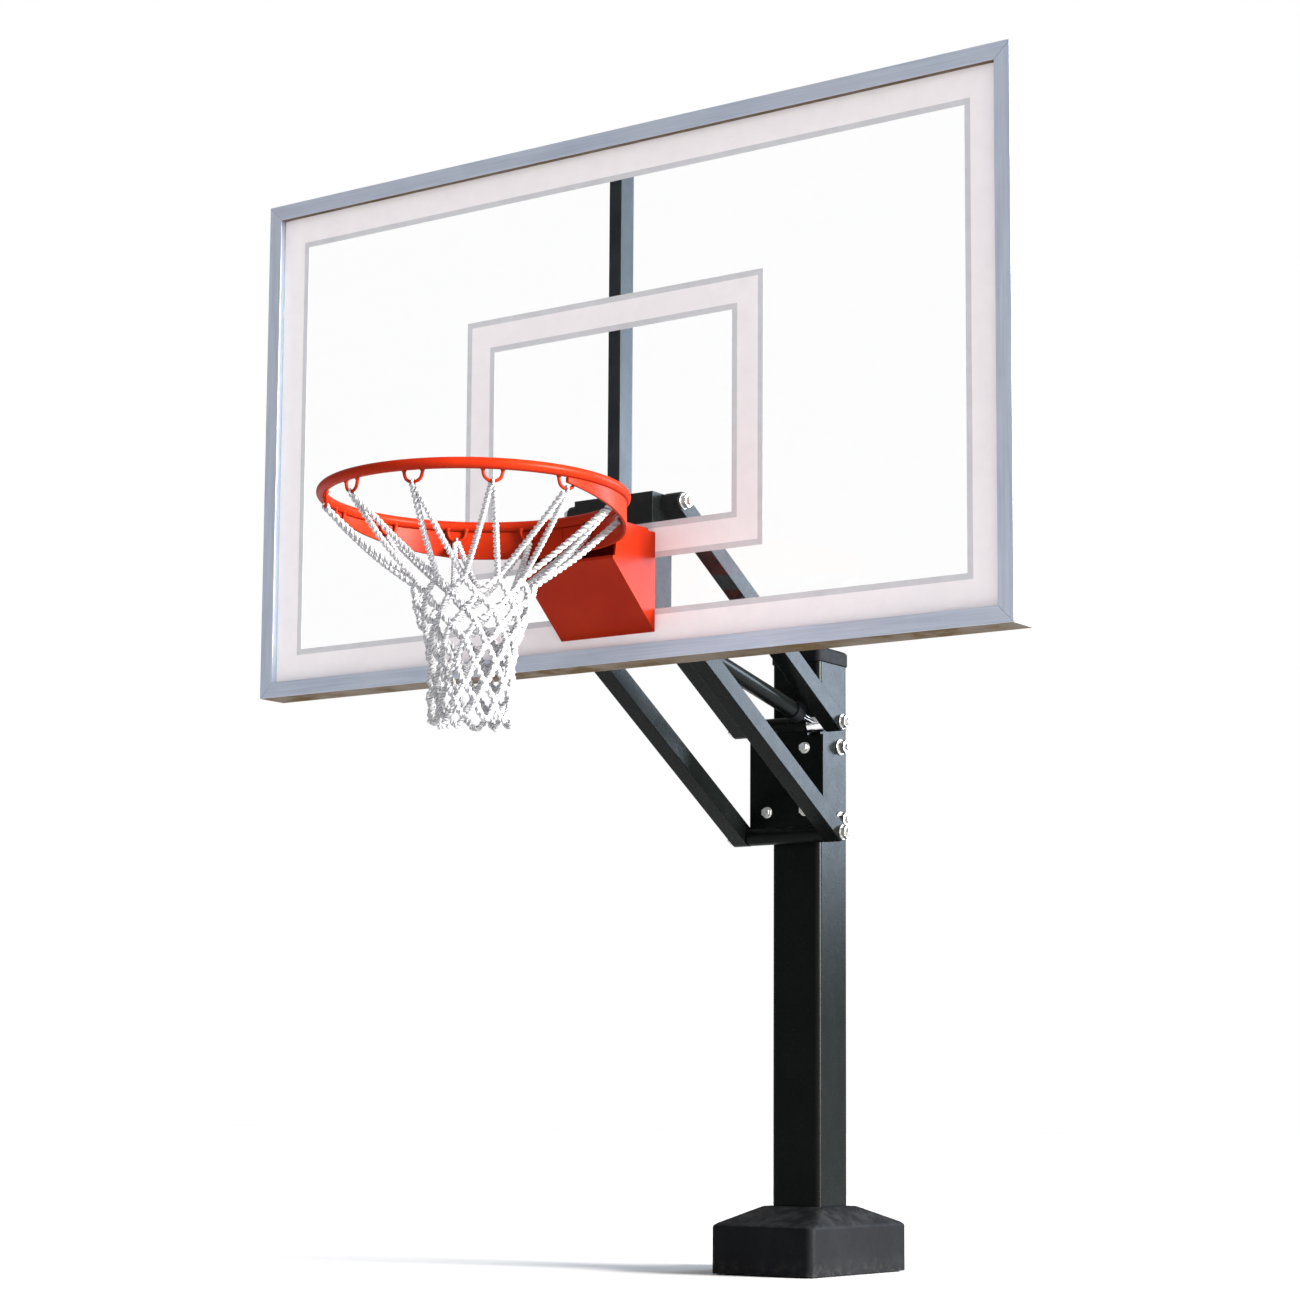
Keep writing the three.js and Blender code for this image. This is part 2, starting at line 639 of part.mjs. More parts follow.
// Upright tube behind the glass, from the arm channel to the top rail.
function centreSupport() {
  const half = SUPPORT_WIDTH / 2;
  const y0 = channelFront;
  const y1 = y0 + SUPPORT_DEPTH;
  const z0 = channelTop + GAP;
  const z1 = boardBottom + BOARD_HEIGHT - RAIL_FACE - GAP;
  const w = SUPPORT_WALL;
  return cut(
    box(-half, half, y0, y1, z0, z1),
    box(-half + w, half - w, y0 + w, y1 - w, z0 - 1, z1 + 1),
  );
}

// Upright channel that opens to the rear. Its flanges carry the front pivots.
function armChannel() {
  const back = frontPivotY + CHANNEL_BEHIND;
  const body = cut(
    box(-flangeOutside, flangeOutside, channelFront, back, channelBottom, channelTop),
    box(-flangeInside, flangeInside, channelBack, back + 1, channelBottom - 1, channelTop + 1),
  );
  const bores = [frontTopZ, frontLowZ].map((z) => (
    barX(boreRadius, -flangeOutside - 1, flangeOutside + 1, frontPivotY, z)));
  return cut(body, ...bores, ...rimBoltHoles(channelFront - 1, channelBack + 1, 0.5));
}

// Spacer tube over a pivot bolt, between the channel's flanges.
function spacer(x0, x1, z) {
  return cut(
    barX(PIVOT_DIA / 2 + SPACER_WALL, x0, x1, frontPivotY, z),
    barX(boreRadius, x0 - 1, x1 + 1, frontPivotY, z),
  );
}

add('glass_panel', glassPanel(), GLASS);
add('centre_support', centreSupport(), BLACK_STEEL);
add('arm_channel', armChannel(), BLACK_STEEL);
add('upper_spacer', spacer(-flangeInside + GAP, flangeInside - GAP, frontTopZ), BLACK_STEEL);
add('lower_spacer', spacer(-flangeInside + GAP, strutEyeLeft, frontLowZ), BLACK_STEEL);

// ---------------------------------------------------------------- rim housing on the board

// Wedge: flat back on the glass, sloping underside, open top. The front edge is cut away under
// the ring so that the ring can dip.
function rimHousing() {
  const half = HOUSING_WIDTH / 2;
  const w = HOUSING_WALL;
  const dip = ringZ + braceTop - BRACE_HEIGHT - BRACE_SWING;
  const dipBack = ringY + ringOutside + 4;
  const slope = HOUSING_LIP / (housingBack - housingFront);
  const floor = (y) => housingFoot + (housingBack - y) * slope;
  const thick = w * Math.hypot(1, slope);
  const outer = sideProfile([
    [housingBack, housingFoot], [housingFront, housingLip], [housingFront, dip],
    [dipBack, dip], [dipBack + 8, housingTop], [housingBack, housingTop],
  ], -half, half);
  const innerBack = housingBack - w - 2;
  const innerFront = housingFront + w;
  const inner = sideProfile([
    [innerBack, floor(innerBack) + thick], [innerFront, floor(innerFront) + thick],
    [innerFront, housingTop + 20], [innerBack, housingTop + 20],
  ], -half + w, half - w);
  return cut(
    outer,
    inner,
    barX(HINGE_PIN / 2 + BORE_CLEAR, -half - 1, half + 1, hingeY, hingeZ),
    ...rimBoltHoles(housingBack - w - 4, housingBack + 1, 0.5),
  );
}

// Rim bolt: head inside the housing, nut behind the channel.
function rimBolt(x, z) {
  const front = housingBack - HOUSING_WALL - 2 - GAP;
  const back = channelBack + GAP;
  const radius = RIM_BOLT_DIA / 2;
  return join(
    barY(radius, front - 1, back + 12, x, z, 12),
    barY(radius * 1.8, front - 6, front, x, z, 6),
    barY(radius * 1.8, back, back + 8, x, z, 6),
  );
}

function hingePin() {
  const end = HOUSING_WIDTH / 2 + GAP;
  const radius = HINGE_PIN / 2;
  return join(
    barX(radius, -end - 1, end + 1, hingeY, hingeZ, 16),
    barX(radius + 3, -end - 4, -end, hingeY, hingeZ, 16),
    barX(radius + 3, end, end + 4, hingeY, hingeZ, 16),
  );
}

// Torsion spring round the hinge pin, with a leg back under the top plate.
class SpringPath extends THREE.Curve {
  constructor(x0, x1) {
    super();
    this.x0 = x0;
    this.x1 = x1;
  }

  getPoint(t, target = new THREE.Vector3()) {
    const radius = SPRING_DIA / 2;
    const coil = Math.min(t / 0.85, 1);
    const angle = coil * SPRING_TURNS * Math.PI * 2;
    const leg = Math.max(0, (t - 0.85) / 0.15) * 30;
    const x = this.x0 + (this.x1 - this.x0) * coil;
    return target.set(x, hingeY + leg - radius * Math.sin(angle),
      hingeZ - radius * Math.cos(angle));
  }
}

function torsionSpring(middle) {
  const half = (SPRING_WIRE + 0.8) * SPRING_TURNS / 2;
  const wire = new THREE.Shape();
  wire.absarc(0, 0, SPRING_WIRE / 2, 0, Math.PI * 2);
  return new THREE.ExtrudeGeometry(wire, {
    extrudePath: new SpringPath(middle - half, middle + half),
    steps: SPRING_TURNS * 10,
    curveSegments: 2,
    bevelEnabled: false,
  });
}

add('rim_housing', rimHousing(), ORANGE);
add('rim_hinge_pin', hingePin(), ZINC);
add('rim_spring_left', torsionSpring(-SPRING_X), ZINC);
add('rim_spring_right', torsionSpring(SPRING_X), ZINC);
rimBoltPlaces.forEach(([x, z], i) => add(`rim_bolt_${i + 1}`, rimBolt(x, z), ZINC));

// ---------------------------------------------------------------- rim

// One net hook: a wire loop that hangs under the ring, drawn at the ring's +X side.
function hook() {
  const half = HOOK_WIDTH / 2;
  const top = -hookTop;
  const path = new THREE.CatmullRomCurve3([
    new THREE.Vector3(0, -half, top),
    new THREE.Vector3(0, -half * 0.8, top - HOOK_DROP * 0.6),
    new THREE.Vector3(0, 0, top - HOOK_DROP),
    new THREE.Vector3(0, half * 0.8, top - HOOK_DROP * 0.6),
    new THREE.Vector3(0, half, top),
  ]);
  const wire = new THREE.Shape();
  wire.absarc(0, 0, HOOK_WIRE / 2, 0, Math.PI * 2);
  const options = { extrudePath: path, steps: 6, curveSegments: 3, bevelEnabled: false };
  return new THREE.ExtrudeGeometry(wire, options).translate(hookRadius, 0, 0);
}

// Ring and hooks, welded. The first hook is half a step from the board.
function rimRing() {
  const ring = new THREE.TorusGeometry(ringRadius, RING_ROD / 2, 12, 48);
  const hooks = [];
  for (let i = 0; i < HOOK_COUNT; i++) {
    hooks.push(hook().rotateZ((i + 0.5) / HOOK_COUNT * Math.PI * 2));
  }
  return join(ring, ...hooks).translate(0, ringY, ringZ);
}

// Brace: an upright band under the ring, deepest at the rear and tapering to a tip at the side.
// The two meet at the ring's rear. Angles are measured from there, towards the given side.
function rimBrace(side) {
  const radius = braceInside;
  const start = Math.asin(GAP / 2 / radius);
  const end = THREE.MathUtils.degToRad(106);
  const full = THREE.MathUtils.degToRad(40);
  const steps = 25;
  const top = braceTop;
  const points = [];
  const faces = [];
  for (let i = 0; i <= steps; i++) {
    const angle = start + (end - start) * i / steps;
    const along = Math.max(0, (angle - full) / (end - full));
    const height = BRACE_TIP + (BRACE_HEIGHT - BRACE_TIP) * (1 - along ** 1.4);
    for (const [r, z] of [[radius, top], [radius + BRACE_THICK, top],
      [radius + BRACE_THICK, top - height], [radius, top - height]]) {
      points.push(side * r * Math.sin(angle), r * Math.cos(angle), z);
    }
  }
  for (let i = 0; i < steps; i++) {
    for (let k = 0; k < 4; k++) {
      const a = 4 * i + k;
      const b = 4 * i + (k + 1) % 4;
      faces.push(a, b, a + 4, b, b + 4, a + 4);
    }
  }
  const last = 4 * steps;
  faces.push(0, 2, 1, 0, 3, 2, last, last + 1, last + 2, last, last + 2, last + 3);
  const wound = side < 0 ? faces : faces.reverse();
  const geometry = new THREE.BufferGeometry();
  geometry.setAttribute('position', new THREE.Float32BufferAttribute(points, 3));
  geometry.setIndex(wound);
  geometry.computeVertexNormals();
  return geometry.translate(0, ringY, ringZ);
}

// Top plate: its front edge follows the ring's outside, and its knuckles take the hinge pin.
function rimTopPlate() {
  const half = TOP_PLATE_WIDTH / 2;
  const back = glassFront - 5;
  const top = topPlateBottom + TOP_PLATE_THICK;
  const ringCut = barZ(ringOutside + GAP, topPlateBottom - 20, top + 1, 0, ringY, 120);
  const body = solid(box(-half, half, ringY + ringRadius - 20, back, topPlateBottom, top))
    .subtract(solid(ringCut));
  const knuckles = [-KNUCKLE_X, KNUCKLE_X].map((x) => {
    const x0 = x - KNUCKLE_WIDTH / 2;
    const x1 = x + KNUCKLE_WIDTH / 2;
    return join(
      barX(KNUCKLE_DIA / 2, x0, x1, hingeY, hingeZ),
      box(x0, x1, hingeY - 4, hingeY + KNUCKLE_DIA / 2, hingeZ, topPlateBottom + 1),
    );
  });
  const joined = knuckles.reduce((rest, knuckle) => rest.add(solid(knuckle)), body);
  const bore = barX(HINGE_PIN / 2 + BORE_CLEAR, -half - 1, half + 1, hingeY, hingeZ);
  return geometryOf(joined.subtract(solid(bore)));
}

// Net: a thin funnel, open above and below.
function net() {
  const rows = [[RING_INSIDE / 2 - NET_INSET, 0], ...NET_OUTLINE];
  const outside = rows.map(([r, z]) => new THREE.Vector2(r, -hookFoot - z));
  const inside = rows.map(([r, z]) => new THREE.Vector2(r - NET_THICK, -hookFoot - z)).reverse();
  const profile = [...outside, ...inside, outside[0].clone()].reverse();
  return new THREE.LatheGeometry(profile, 32).rotateX(Math.PI / 2).translate(0, ringY, ringZ);
}

add('rim_ring', rimRing(), ORANGE);
add('rim_brace_left', rimBrace(-1), ORANGE);
add('rim_brace_right', rimBrace(1), ORANGE);
add('rim_top_plate', rimTopPlate(), ORANGE);
add('net', net(), WHITE_CORD);

export default hoop;
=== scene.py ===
"""Looks for an adjustable basketball hoop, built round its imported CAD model. Metres, +Z up."""

import json
import math
import random

import bmesh
import bpy
from mathutils import Matrix, Vector


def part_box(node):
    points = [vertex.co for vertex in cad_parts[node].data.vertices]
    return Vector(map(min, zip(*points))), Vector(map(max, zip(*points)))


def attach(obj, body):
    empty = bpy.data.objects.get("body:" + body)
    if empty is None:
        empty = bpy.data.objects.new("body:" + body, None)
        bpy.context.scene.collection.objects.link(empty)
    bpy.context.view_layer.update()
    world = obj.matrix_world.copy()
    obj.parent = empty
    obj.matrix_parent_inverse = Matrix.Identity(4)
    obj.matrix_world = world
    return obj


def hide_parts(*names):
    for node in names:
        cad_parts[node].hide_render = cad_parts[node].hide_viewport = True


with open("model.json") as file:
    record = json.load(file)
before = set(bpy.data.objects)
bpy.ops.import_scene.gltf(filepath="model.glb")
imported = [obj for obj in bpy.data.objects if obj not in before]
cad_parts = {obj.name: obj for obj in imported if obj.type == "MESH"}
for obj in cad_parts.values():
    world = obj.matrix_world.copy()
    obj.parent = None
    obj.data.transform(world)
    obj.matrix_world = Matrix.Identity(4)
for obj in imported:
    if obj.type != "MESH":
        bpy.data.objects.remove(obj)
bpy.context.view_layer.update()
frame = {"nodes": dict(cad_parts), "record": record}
NODES = frame["nodes"]
BODY_OF = {node: body for body, nodes in frame["record"]["behaviour"]["bodies"].items()
           for node in nodes}
scene = bpy.context.scene
UP = Vector((0, 0, 1))

# ---------------------------------------------------------------- sizes that the CAD model uses

RING_ROD = 0.0175
RING_RADIUS = (0.4572 + RING_ROD) / 2
HOOK_COUNT = 12
HOOK_WIDTH = 0.030
HOOK_WIRE = 0.0052
HOOK_DROP = 0.020
HOOK_TOP = RING_ROD / 2 - 0.003
BRACE_THICK = 0.005
BRACE_HEIGHT = 0.045
BRACE_TIP = 0.008
BRACE_INSIDE = RING_RADIUS - BRACE_THICK / 2
HOOK_RADIUS = BRACE_INSIDE - 0.001 - HOOK_WIRE / 2
POST_CORNER = 0.010
POST_WALL = 0.0048
COVER_SIDE = 0.088
COVER_LEDGE = 0.013
COVER_WALL = 0.004
COVER_CORNER = 0.015
RAIL_FACE = 0.028
SPRING_WIRE = 0.0024
SPRING_TURNS = 5
SPRING_MEAN = 0.0146

ring_low, ring_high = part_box("rim_ring")
ring_centre = Vector(((ring_low.x + ring_high.x) / 2, (ring_low.y + ring_high.y) / 2,
                      ring_high.z - RING_ROD / 2))
board_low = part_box("frame_bottom")[0]
board_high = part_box("frame_top")[1]
glass_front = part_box("glass_panel")[0].y

# ---------------------------------------------------------------- camera

CAMERA_AT = Vector((2.740, -4.498, 0.279))
YAW, PITCH, ROLL = math.radians(34.55), math.radians(6.67), math.radians(0.36)
SENSOR_WIDTH, LENS, LENS_SHIFT = 36, 79.64, 0.10

camera_data = bpy.data.cameras.new("camera")
camera_data.sensor_width = SENSOR_WIDTH
camera_data.lens = LENS
camera_data.shift_y = LENS_SHIFT
camera_data.clip_end = 200
camera = bpy.data.objects.new("camera", camera_data)
scene.collection.objects.link(camera)
forward = Vector((-math.sin(YAW) * math.cos(PITCH), math.cos(YAW) * math.cos(PITCH),
                  math.sin(PITCH)))
right = forward.cross(UP).normalized()
up = right.cross(forward)
tilted_right = right * math.cos(ROLL) + up * math.sin(ROLL)
tilted_up = up * math.cos(ROLL) - right * math.sin(ROLL)
turn = Matrix((tilted_right, tilted_up, -forward)).transposed()
camera.matrix_world = Matrix.Translation(CAMERA_AT) @ turn.to_4x4()
scene.camera = camera

# ---------------------------------------------------------------- materials


def rgba(value):
    if isinstance(value, bpy.types.NodeSocket) or len(value) == 4:
        return value
    return (*value, 1.0)


class Shader:
    """A procedural material, and short names for the nodes that make it."""

    def __init__(self, name):
        self.material = bpy.data.materials.new(name)
        self.material.use_nodes = True
        self.tree = self.material.node_tree
        self.bsdf = self.tree.nodes["Principled BSDF"]
        self.output = self.tree.nodes["Material Output"]
        self.place = self.node("ShaderNodeTexCoord").outputs["Object"]

    def node(self, kind, inputs=None, **settings):
        made = self.tree.nodes.new(kind)
        for key, value in settings.items():
            setattr(made, key, value)
        for key, value in (inputs or {}).items():
            self.put(made.inputs[key], value)
        return made

    def put(self, socket, value):
        if isinstance(value, bpy.types.NodeSocket):
            self.tree.links.new(value, socket)
        else:
            socket.default_value = value

    def set(self, **values):
        for key, value in values.items():
            self.put(self.bsdf.inputs[key.replace("_", " ")], value)

    def noise(self, scale, detail, roughness=0.5, distortion=0.0, stretch=None):
        at = self.place
        if stretch:
            at = self.node("ShaderNodeMapping", {"Vector": at, "Scale": stretch}).outputs[0]
        return self.node("ShaderNodeTexNoise", {
            "Vector": at, "Scale": scale, "Detail": detail, "Roughness": roughness,
            "Distortion": distortion}).outputs["Fac"]

    def spots(self, scale):
        return self.node("ShaderNodeTexVoronoi", {
            "Vector": self.place, "Scale": scale}).outputs["Distance"]

    def span(self, value, low, high, to_low=0.0, to_high=1.0):
        return self.node("ShaderNodeMapRange", {
            "Value": value, "From Min": low, "From Max": high,
            "To Min": to_low, "To Max": to_high}).outputs[0]

    def maths(self, operation, a, b=0.0):
        made = self.node("ShaderNodeMath", operation=operation)
        self.put(made.inputs[0], a)
        self.put(made.inputs[1], b)
        return made.outputs[0]

    def mix(self, amount, a, b):
        made = self.node("ShaderNodeMix", data_type="RGBA")
        self.put(made.inputs["Factor"], amount)
        self.put(made.inputs["A"], rgba(a))
        self.put(made.inputs["B"], rgba(b))
        return made.outputs["Result"]

    def blend(self, amount, first, second):
        """One surface shader laid over another."""
        made = self.node("ShaderNodeMixShader")
        for socket, value in zip(made.inputs, (amount, first, second)):
            self.put(socket, value)
        return made.outputs[0]

    def normal_along(self, direction):
        """The cosine between the surface's normal and a direction or another normal."""
        made = self.node("ShaderNodeVectorMath", operation="DOT_PRODUCT")
        self.put(made.inputs[0], self.node("ShaderNodeNewGeometry").outputs["Normal"])
        self.put(made.inputs[1], direction)
        return made.outputs["Value"]

    def facing(self, y=0.0, z=0.0):
        """How squarely the surface faces a direction of the scene, from -1 to 1."""
        return self.normal_along((0.0, y, z))

    def height(self):
        made = self.node("ShaderNodeSeparateXYZ")
        self.put(made.inputs[0], self.place)
        return made.outputs["Z"]

    def worn_edges(self, radius):
        """1 on convex and concave edges and 0 on flats."""
        rounded = self.node("ShaderNodeBevel", {"Radius": radius}, samples=4).outputs[0]
        return self.span(self.normal_along(rounded), 0.98, 0.7)

    def bump(self, height, strength, distance, under=None):
        values = {"Height": height, "Strength": strength, "Distance": distance}
        if under is not None:
            values["Normal"] = under
        return self.node("ShaderNodeBump", values).outputs[0]


def powder_coat(name, colour, deep, gloss, wear, dust, specular):
    """Baked powder coat: orange peel, cloudy gloss, paler rubbed edges and dust on top."""
    s = Shader(name)
    cloud = s.noise(9.0, 5.0, 0.6)
    base = s.mix(s.span(cloud, 0.35, 0.7), deep, colour)
    speck = s.span(s.noise(900.0, 2.0, 0.6), 0.60, 0.72, 0.0, 0.35)
    base = s.mix(speck, base, tuple(min(1.0, c * 1.6 + 0.006) for c in colour))
    edge = s.maths("MULTIPLY", s.worn_edges(0.0016), s.span(s.noise(60.0, 4.0, 0.7), 0.5, 0.66))
    base = s.mix(s.maths("MULTIPLY", edge, 0.5), base, wear)
    settled = s.maths("MULTIPLY", s.span(s.facing(z=1.0), 0.6, 1.0),
                      s.span(s.noise(26.0, 6.0, 0.65), 0.42, 0.75, 0.0, dust))
    base = s.mix(settled, base, (0.26, 0.25, 0.24))
    rough = s.span(s.noise(34.0, 5.0, 0.6), 0.3, 0.75, gloss - 0.01, gloss + 0.04)
    rough = s.maths("ADD", rough, s.maths("MULTIPLY", settled, 0.8))
    skin = s.bump(s.noise(520.0, 2.0), 0.22, 0.0004)
    s.set(Base_Color=base, Roughness=rough, Normal=skin, Specular_IOR_Level=specular)
    return s.material


def zinc():
    """Bright zinc plate: passivated blotches and fine turning marks."""
    s = Shader("zinc")
    blotch = s.noise(120.0, 5.0, 0.65)
    base = s.mix(s.span(blotch, 0.35, 0.7), (0.62, 0.63, 0.64), (0.74, 0.72, 0.66))
    dull = s.span(s.noise(45.0, 4.0, 0.7), 0.58, 0.75, 0.0, 0.5)
    base = s.mix(dull, base, (0.40, 0.41, 0.44))
    rough = s.span(s.noise(300.0, 4.0, 0.6), 0.3, 0.7, 0.22, 0.48)
    marks = s.bump(s.noise(260.0, 3.0, 0.6, stretch=(1.0, 6.0, 1.0)), 0.18, 0.0002)
    s.set(Base_Color=base, Metallic=1.0, Roughness=rough, Normal=marks)
    return s.material


def polished_rod():
    """Ground and polished steel, with faint streaks along it."""
    s = Shader("polished_rod")
    streak = s.noise(40.0, 4.0, 0.6, stretch=(1.0, 0.15, 1.0))
    base = s.mix(s.span(streak, 0.3, 0.7), (0.74, 0.75, 0.78), (0.86, 0.87, 0.88))
    rough = s.span(s.noise(220.0, 3.0, 0.6), 0.3, 0.7, 0.06, 0.16)
    fine = s.bump(s.noise(900.0, 2.0, stretch=(1.0, 0.1, 1.0)), 0.05, 0.0001)
    s.set(Base_Color=base, Metallic=1.0, Roughness=rough, Normal=fine)
    return s.material


def frame_aluminium(name, along):
    """Clear-anodised extrusion with drawing lines along an axis, and painted shade on its
    underside.

    Faces turned down are painted brown, matt and less metallic: painted shade standing for the
    warm shade under the frame.
    """
    s = Shader(name)
    across = tuple(0.02 if axis == along else 1.0 for axis in range(3))
    lines = s.noise(420.0, 3.0, 0.6, stretch=across)
    base = s.mix(s.span(lines, 0.3, 0.7), (0.42, 0.48, 0.60), (0.54, 0.60, 0.72))
    cloud = s.span(s.noise(5.0, 4.0, 0.6), 0.35, 0.7, 0.0, 0.30)
    base = s.mix(cloud, base, (0.66, 0.68, 0.74))
    # Painted shade: faces turned down go brown, and further down lose metal and gloss.
    below = s.maths("MULTIPLY", s.span(s.facing(z=-1.0), 0.6, 0.95),
                    s.span(s.noise(14.0, 5.0, 0.6), 0.2, 0.6, 0.94, 1.0))
    base = s.mix(below, base, (0.120, 0.086, 0.050))
    edge = s.maths("MULTIPLY", s.worn_edges(0.0012), 0.45)
    base = s.mix(edge, base, (0.86, 0.87, 0.90))
    rough = s.span(lines, 0.3, 0.7, 0.30, 0.46)
    skin = s.bump(lines, 0.10, 0.0002)
    bright = s.maths("SUBTRACT", 1.0, below)
    s.set(Base_Color=base, Metallic=s.maths("MULTIPLY", bright, 0.55), Roughness=rough,
          Normal=skin, Specular_IOR_Level=s.maths("MULTIPLY", bright, 0.5))
    return s.material


def clear_glass():
    """Clear tempered glass: see-through, with a mirror gloss, faint smears and a green edge."""
    s = Shader("clear_glass")
    s.tree.nodes.remove(s.bsdf)
    edge = s.span(s.maths("ABSOLUTE", s.facing(y=1.0)), 0.9, 0.5)
    tint = s.mix(edge, (0.999, 1.0, 1.0), (0.30, 0.62, 0.52))
    through = s.node("ShaderNodeBsdfTransparent", {"Color": tint})
    gloss = s.node("ShaderNodeBsdfGlossy", {"Roughness": 0.02, "Color": (1, 1, 1, 1)})
    film = s.node("ShaderNodeBsdfDiffuse", {"Color": (0.86, 0.88, 0.90, 1), "Roughness": 0.5})
    fresnel = s.node("ShaderNodeFresnel", {"IOR": 1.5}).outputs[0]
    inside = s.node("ShaderNodeNewGeometry").outputs["Backfacing"]
    mirror = s.maths("MULTIPLY", fresnel, s.span(inside, 0.0, 1.0, 0.65, 0.0))
    smear = s.noise(7.0, 6.0, 0.7, distortion=0.6, stretch=(1.0, 1.0, 2.4))
    clean = s.blend(mirror, through.outputs[0], gloss.outputs[0])
    smeared = s.blend(s.span(smear, 0.45, 0.8, 0.0, 0.012), clean, film.outputs[0])
    s.put(s.output.inputs["Surface"], smeared)
    return s.material


def printed_ink(name, colour, deep):
    """Fired ceramic ink: nearly flat, with a faint mottle and a satin skin."""
    s = Shader(name)
    mottle = s.noise(30.0, 5.0, 0.65)
    base = s.mix(s.span(mottle, 0.3, 0.72), deep, colour)
    scuff = s.span(s.noise(11.0, 6.0, 0.75, distortion=1.5), 0.60, 0.78, 0.0, 0.30)
    base = s.mix(scuff, base, tuple(c * 0.82 for c in deep))
    rough = s.span(s.noise(80.0, 3.0, 0.6), 0.3, 0.7, 0.30, 0.44)
    skin = s.bump(s.noise(700.0, 2.0), 0.08, 0.0002)
    s.set(Base_Color=base, Roughness=rough, Normal=skin)
    return s.material


def moulded_plastic(name, colour, deep):
    """Textured moulding: pebbled grain, cloudy colour, dust on top and splashes low down."""
    s = Shader(name)
    cloud = s.noise(14.0, 5.0, 0.62)
    base = s.mix(s.span(cloud, 0.35, 0.72), deep, colour)
    settled = s.maths("MULTIPLY", s.span(s.facing(z=1.0), 0.3, 0.8),
                      s.span(s.noise(40.0, 6.0, 0.7), 0.42, 0.78, 0.0, 0.16))
    base = s.mix(settled, base, (0.10, 0.10, 0.10))
    splash = s.maths("MULTIPLY", s.span(s.height(), 0.035, 0.0),
                     s.span(s.noise(70.0, 6.0, 0.7), 0.45, 0.75, 0.0, 0.2))
    base = s.mix(splash, base, (0.10, 0.09, 0.08))
    rough = s.span(s.noise(90.0, 4.0, 0.6), 0.3, 0.7, 0.50, 0.68)
    pebble = s.bump(s.spots(650.0), 0.35, 0.0005)
    s.set(Base_Color=base, Roughness=rough, Normal=pebble, Specular_IOR_Level=0.06)
    return s.material


def net_cord():
    """Braided nylon: slanted strands round each cord with painted shade in the grooves between
    them, fuzz, and grey handling marks.
    """
    s = Shader("net_cord")
    uv = s.node("ShaderNodeUVMap", uv_map="UVMap").outputs[0]
    slant = s.node("ShaderNodeMapping", {"Vector": uv, "Rotation": (0, 0, math.radians(38))})
    strands = s.node("ShaderNodeTexWave", {
        "Vector": slant.outputs[0], "Scale": 1.35, "Distortion": 0.6, "Detail": 1.0,
        "Detail Scale": 2.0}, wave_type="BANDS").outputs["Fac"]
    fuzz = s.noise(1600.0, 3.0, 0.7)
    grime = s.noise(38.0, 5.0, 0.65)
    # Painted shade: the grooves between the strands are coloured darker than the strands.
    base = s.mix(s.span(strands, 0.0, 0.55), (0.20, 0.205, 0.22), (0.50, 0.505, 0.53))
    base = s.mix(s.span(grime, 0.45, 0.78, 0.0, 0.45), base, (0.34, 0.33, 0.33))
    weave = s.bump(fuzz, 0.35, 0.0003, under=s.bump(strands, 0.7, 0.0008))
    s.set(Base_Color=base, Roughness=0.85, Normal=weave, Sheen_Weight=0.25,
          Sheen_Roughness=0.5, Specular_IOR_Level=0.2)
    return s.material


BLACK = powder_coat("black_powder_coat", (0.0036, 0.0046, 0.0044), (0.0020, 0.0028, 0.0026),
                    gloss=0.26, wear=(0.04, 0.04, 0.04), dust=0.12, specular=0.06)
ORANGE = powder_coat("orange_coat", (0.31, 0.0180, 0.0030), (0.26, 0.0115, 0.0022),
                     gloss=0.34, wear=(0.34, 0.10, 0.04), dust=0.05, specular=0.05)
NAVY = powder_coat("support_coat", (0.0030, 0.0080, 0.0125), (0.0022, 0.0060, 0.0098),
                   gloss=0.24, wear=(0.04, 0.05, 0.06), dust=0.12, specular=0.10)
MOULDING = moulded_plastic("black_moulding", (0.0060, 0.0066, 0.0080), (0.0034, 0.0038, 0.0047))
ZINC = zinc()
ROD = polished_rod()
FRAME_X = frame_aluminium("frame_aluminium_long", along=0)
FRAME_Z = frame_aluminium("frame_aluminium_upright", along=2)
GLASS = clear_glass()
INK_WHITE = printed_ink("border_ink", (0.90, 0.86, 0.88), (0.86, 0.82, 0.845))
INK_GREY = printed_ink("outline_ink", (0.62, 0.62, 0.65), (0.56, 0.56, 0.59))
CORD = net_cord()

# ---------------------------------------------------------------- making and placing pieces


def new_piece(name, mesh, body, material, replaces=()):
    piece = bpy.data.objects.new(name, mesh)
    scene.collection.objects.link(piece)
    mesh.materials.clear()
    mesh.materials.append(material)
    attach(piece, body)
    if replaces:
        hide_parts(*replaces)


def shade(mesh, smooth):
    mesh.polygons.foreach_set("use_smooth", [smooth] * len(mesh.polygons))


def mesh_from(name, verts, faces, uvs=None):
    mesh = bpy.data.meshes.new(name)
    mesh.from_pydata([tuple(v) for v in verts], [], faces)
    if uvs is not None:
        layer = mesh.uv_layers.new(name="UVMap")
        layer.data.foreach_set("uv", [c for face in uvs for uv in face for c in uv])
    shade(mesh, True)
    mesh.update()
    return mesh


def applied(mesh, *modifiers):
    """The mesh with modifiers applied, given as (type, settings)."""
    holder = bpy.data.objects.new("holder", mesh)
    scene.collection.objects.link(holder)
    for kind, settings in modifiers:
        made = holder.modifiers.new(kind.lower(), kind)
        for key, value in settings.items():
            setattr(made, key, value)
    depsgraph = bpy.context.evaluated_depsgraph_get()
    result = bpy.data.meshes.new_from_object(holder.evaluated_get(depsgraph),
                                             preserve_all_data_layers=True, depsgraph=depsgraph)
    bpy.data.objects.remove(holder)
    return result


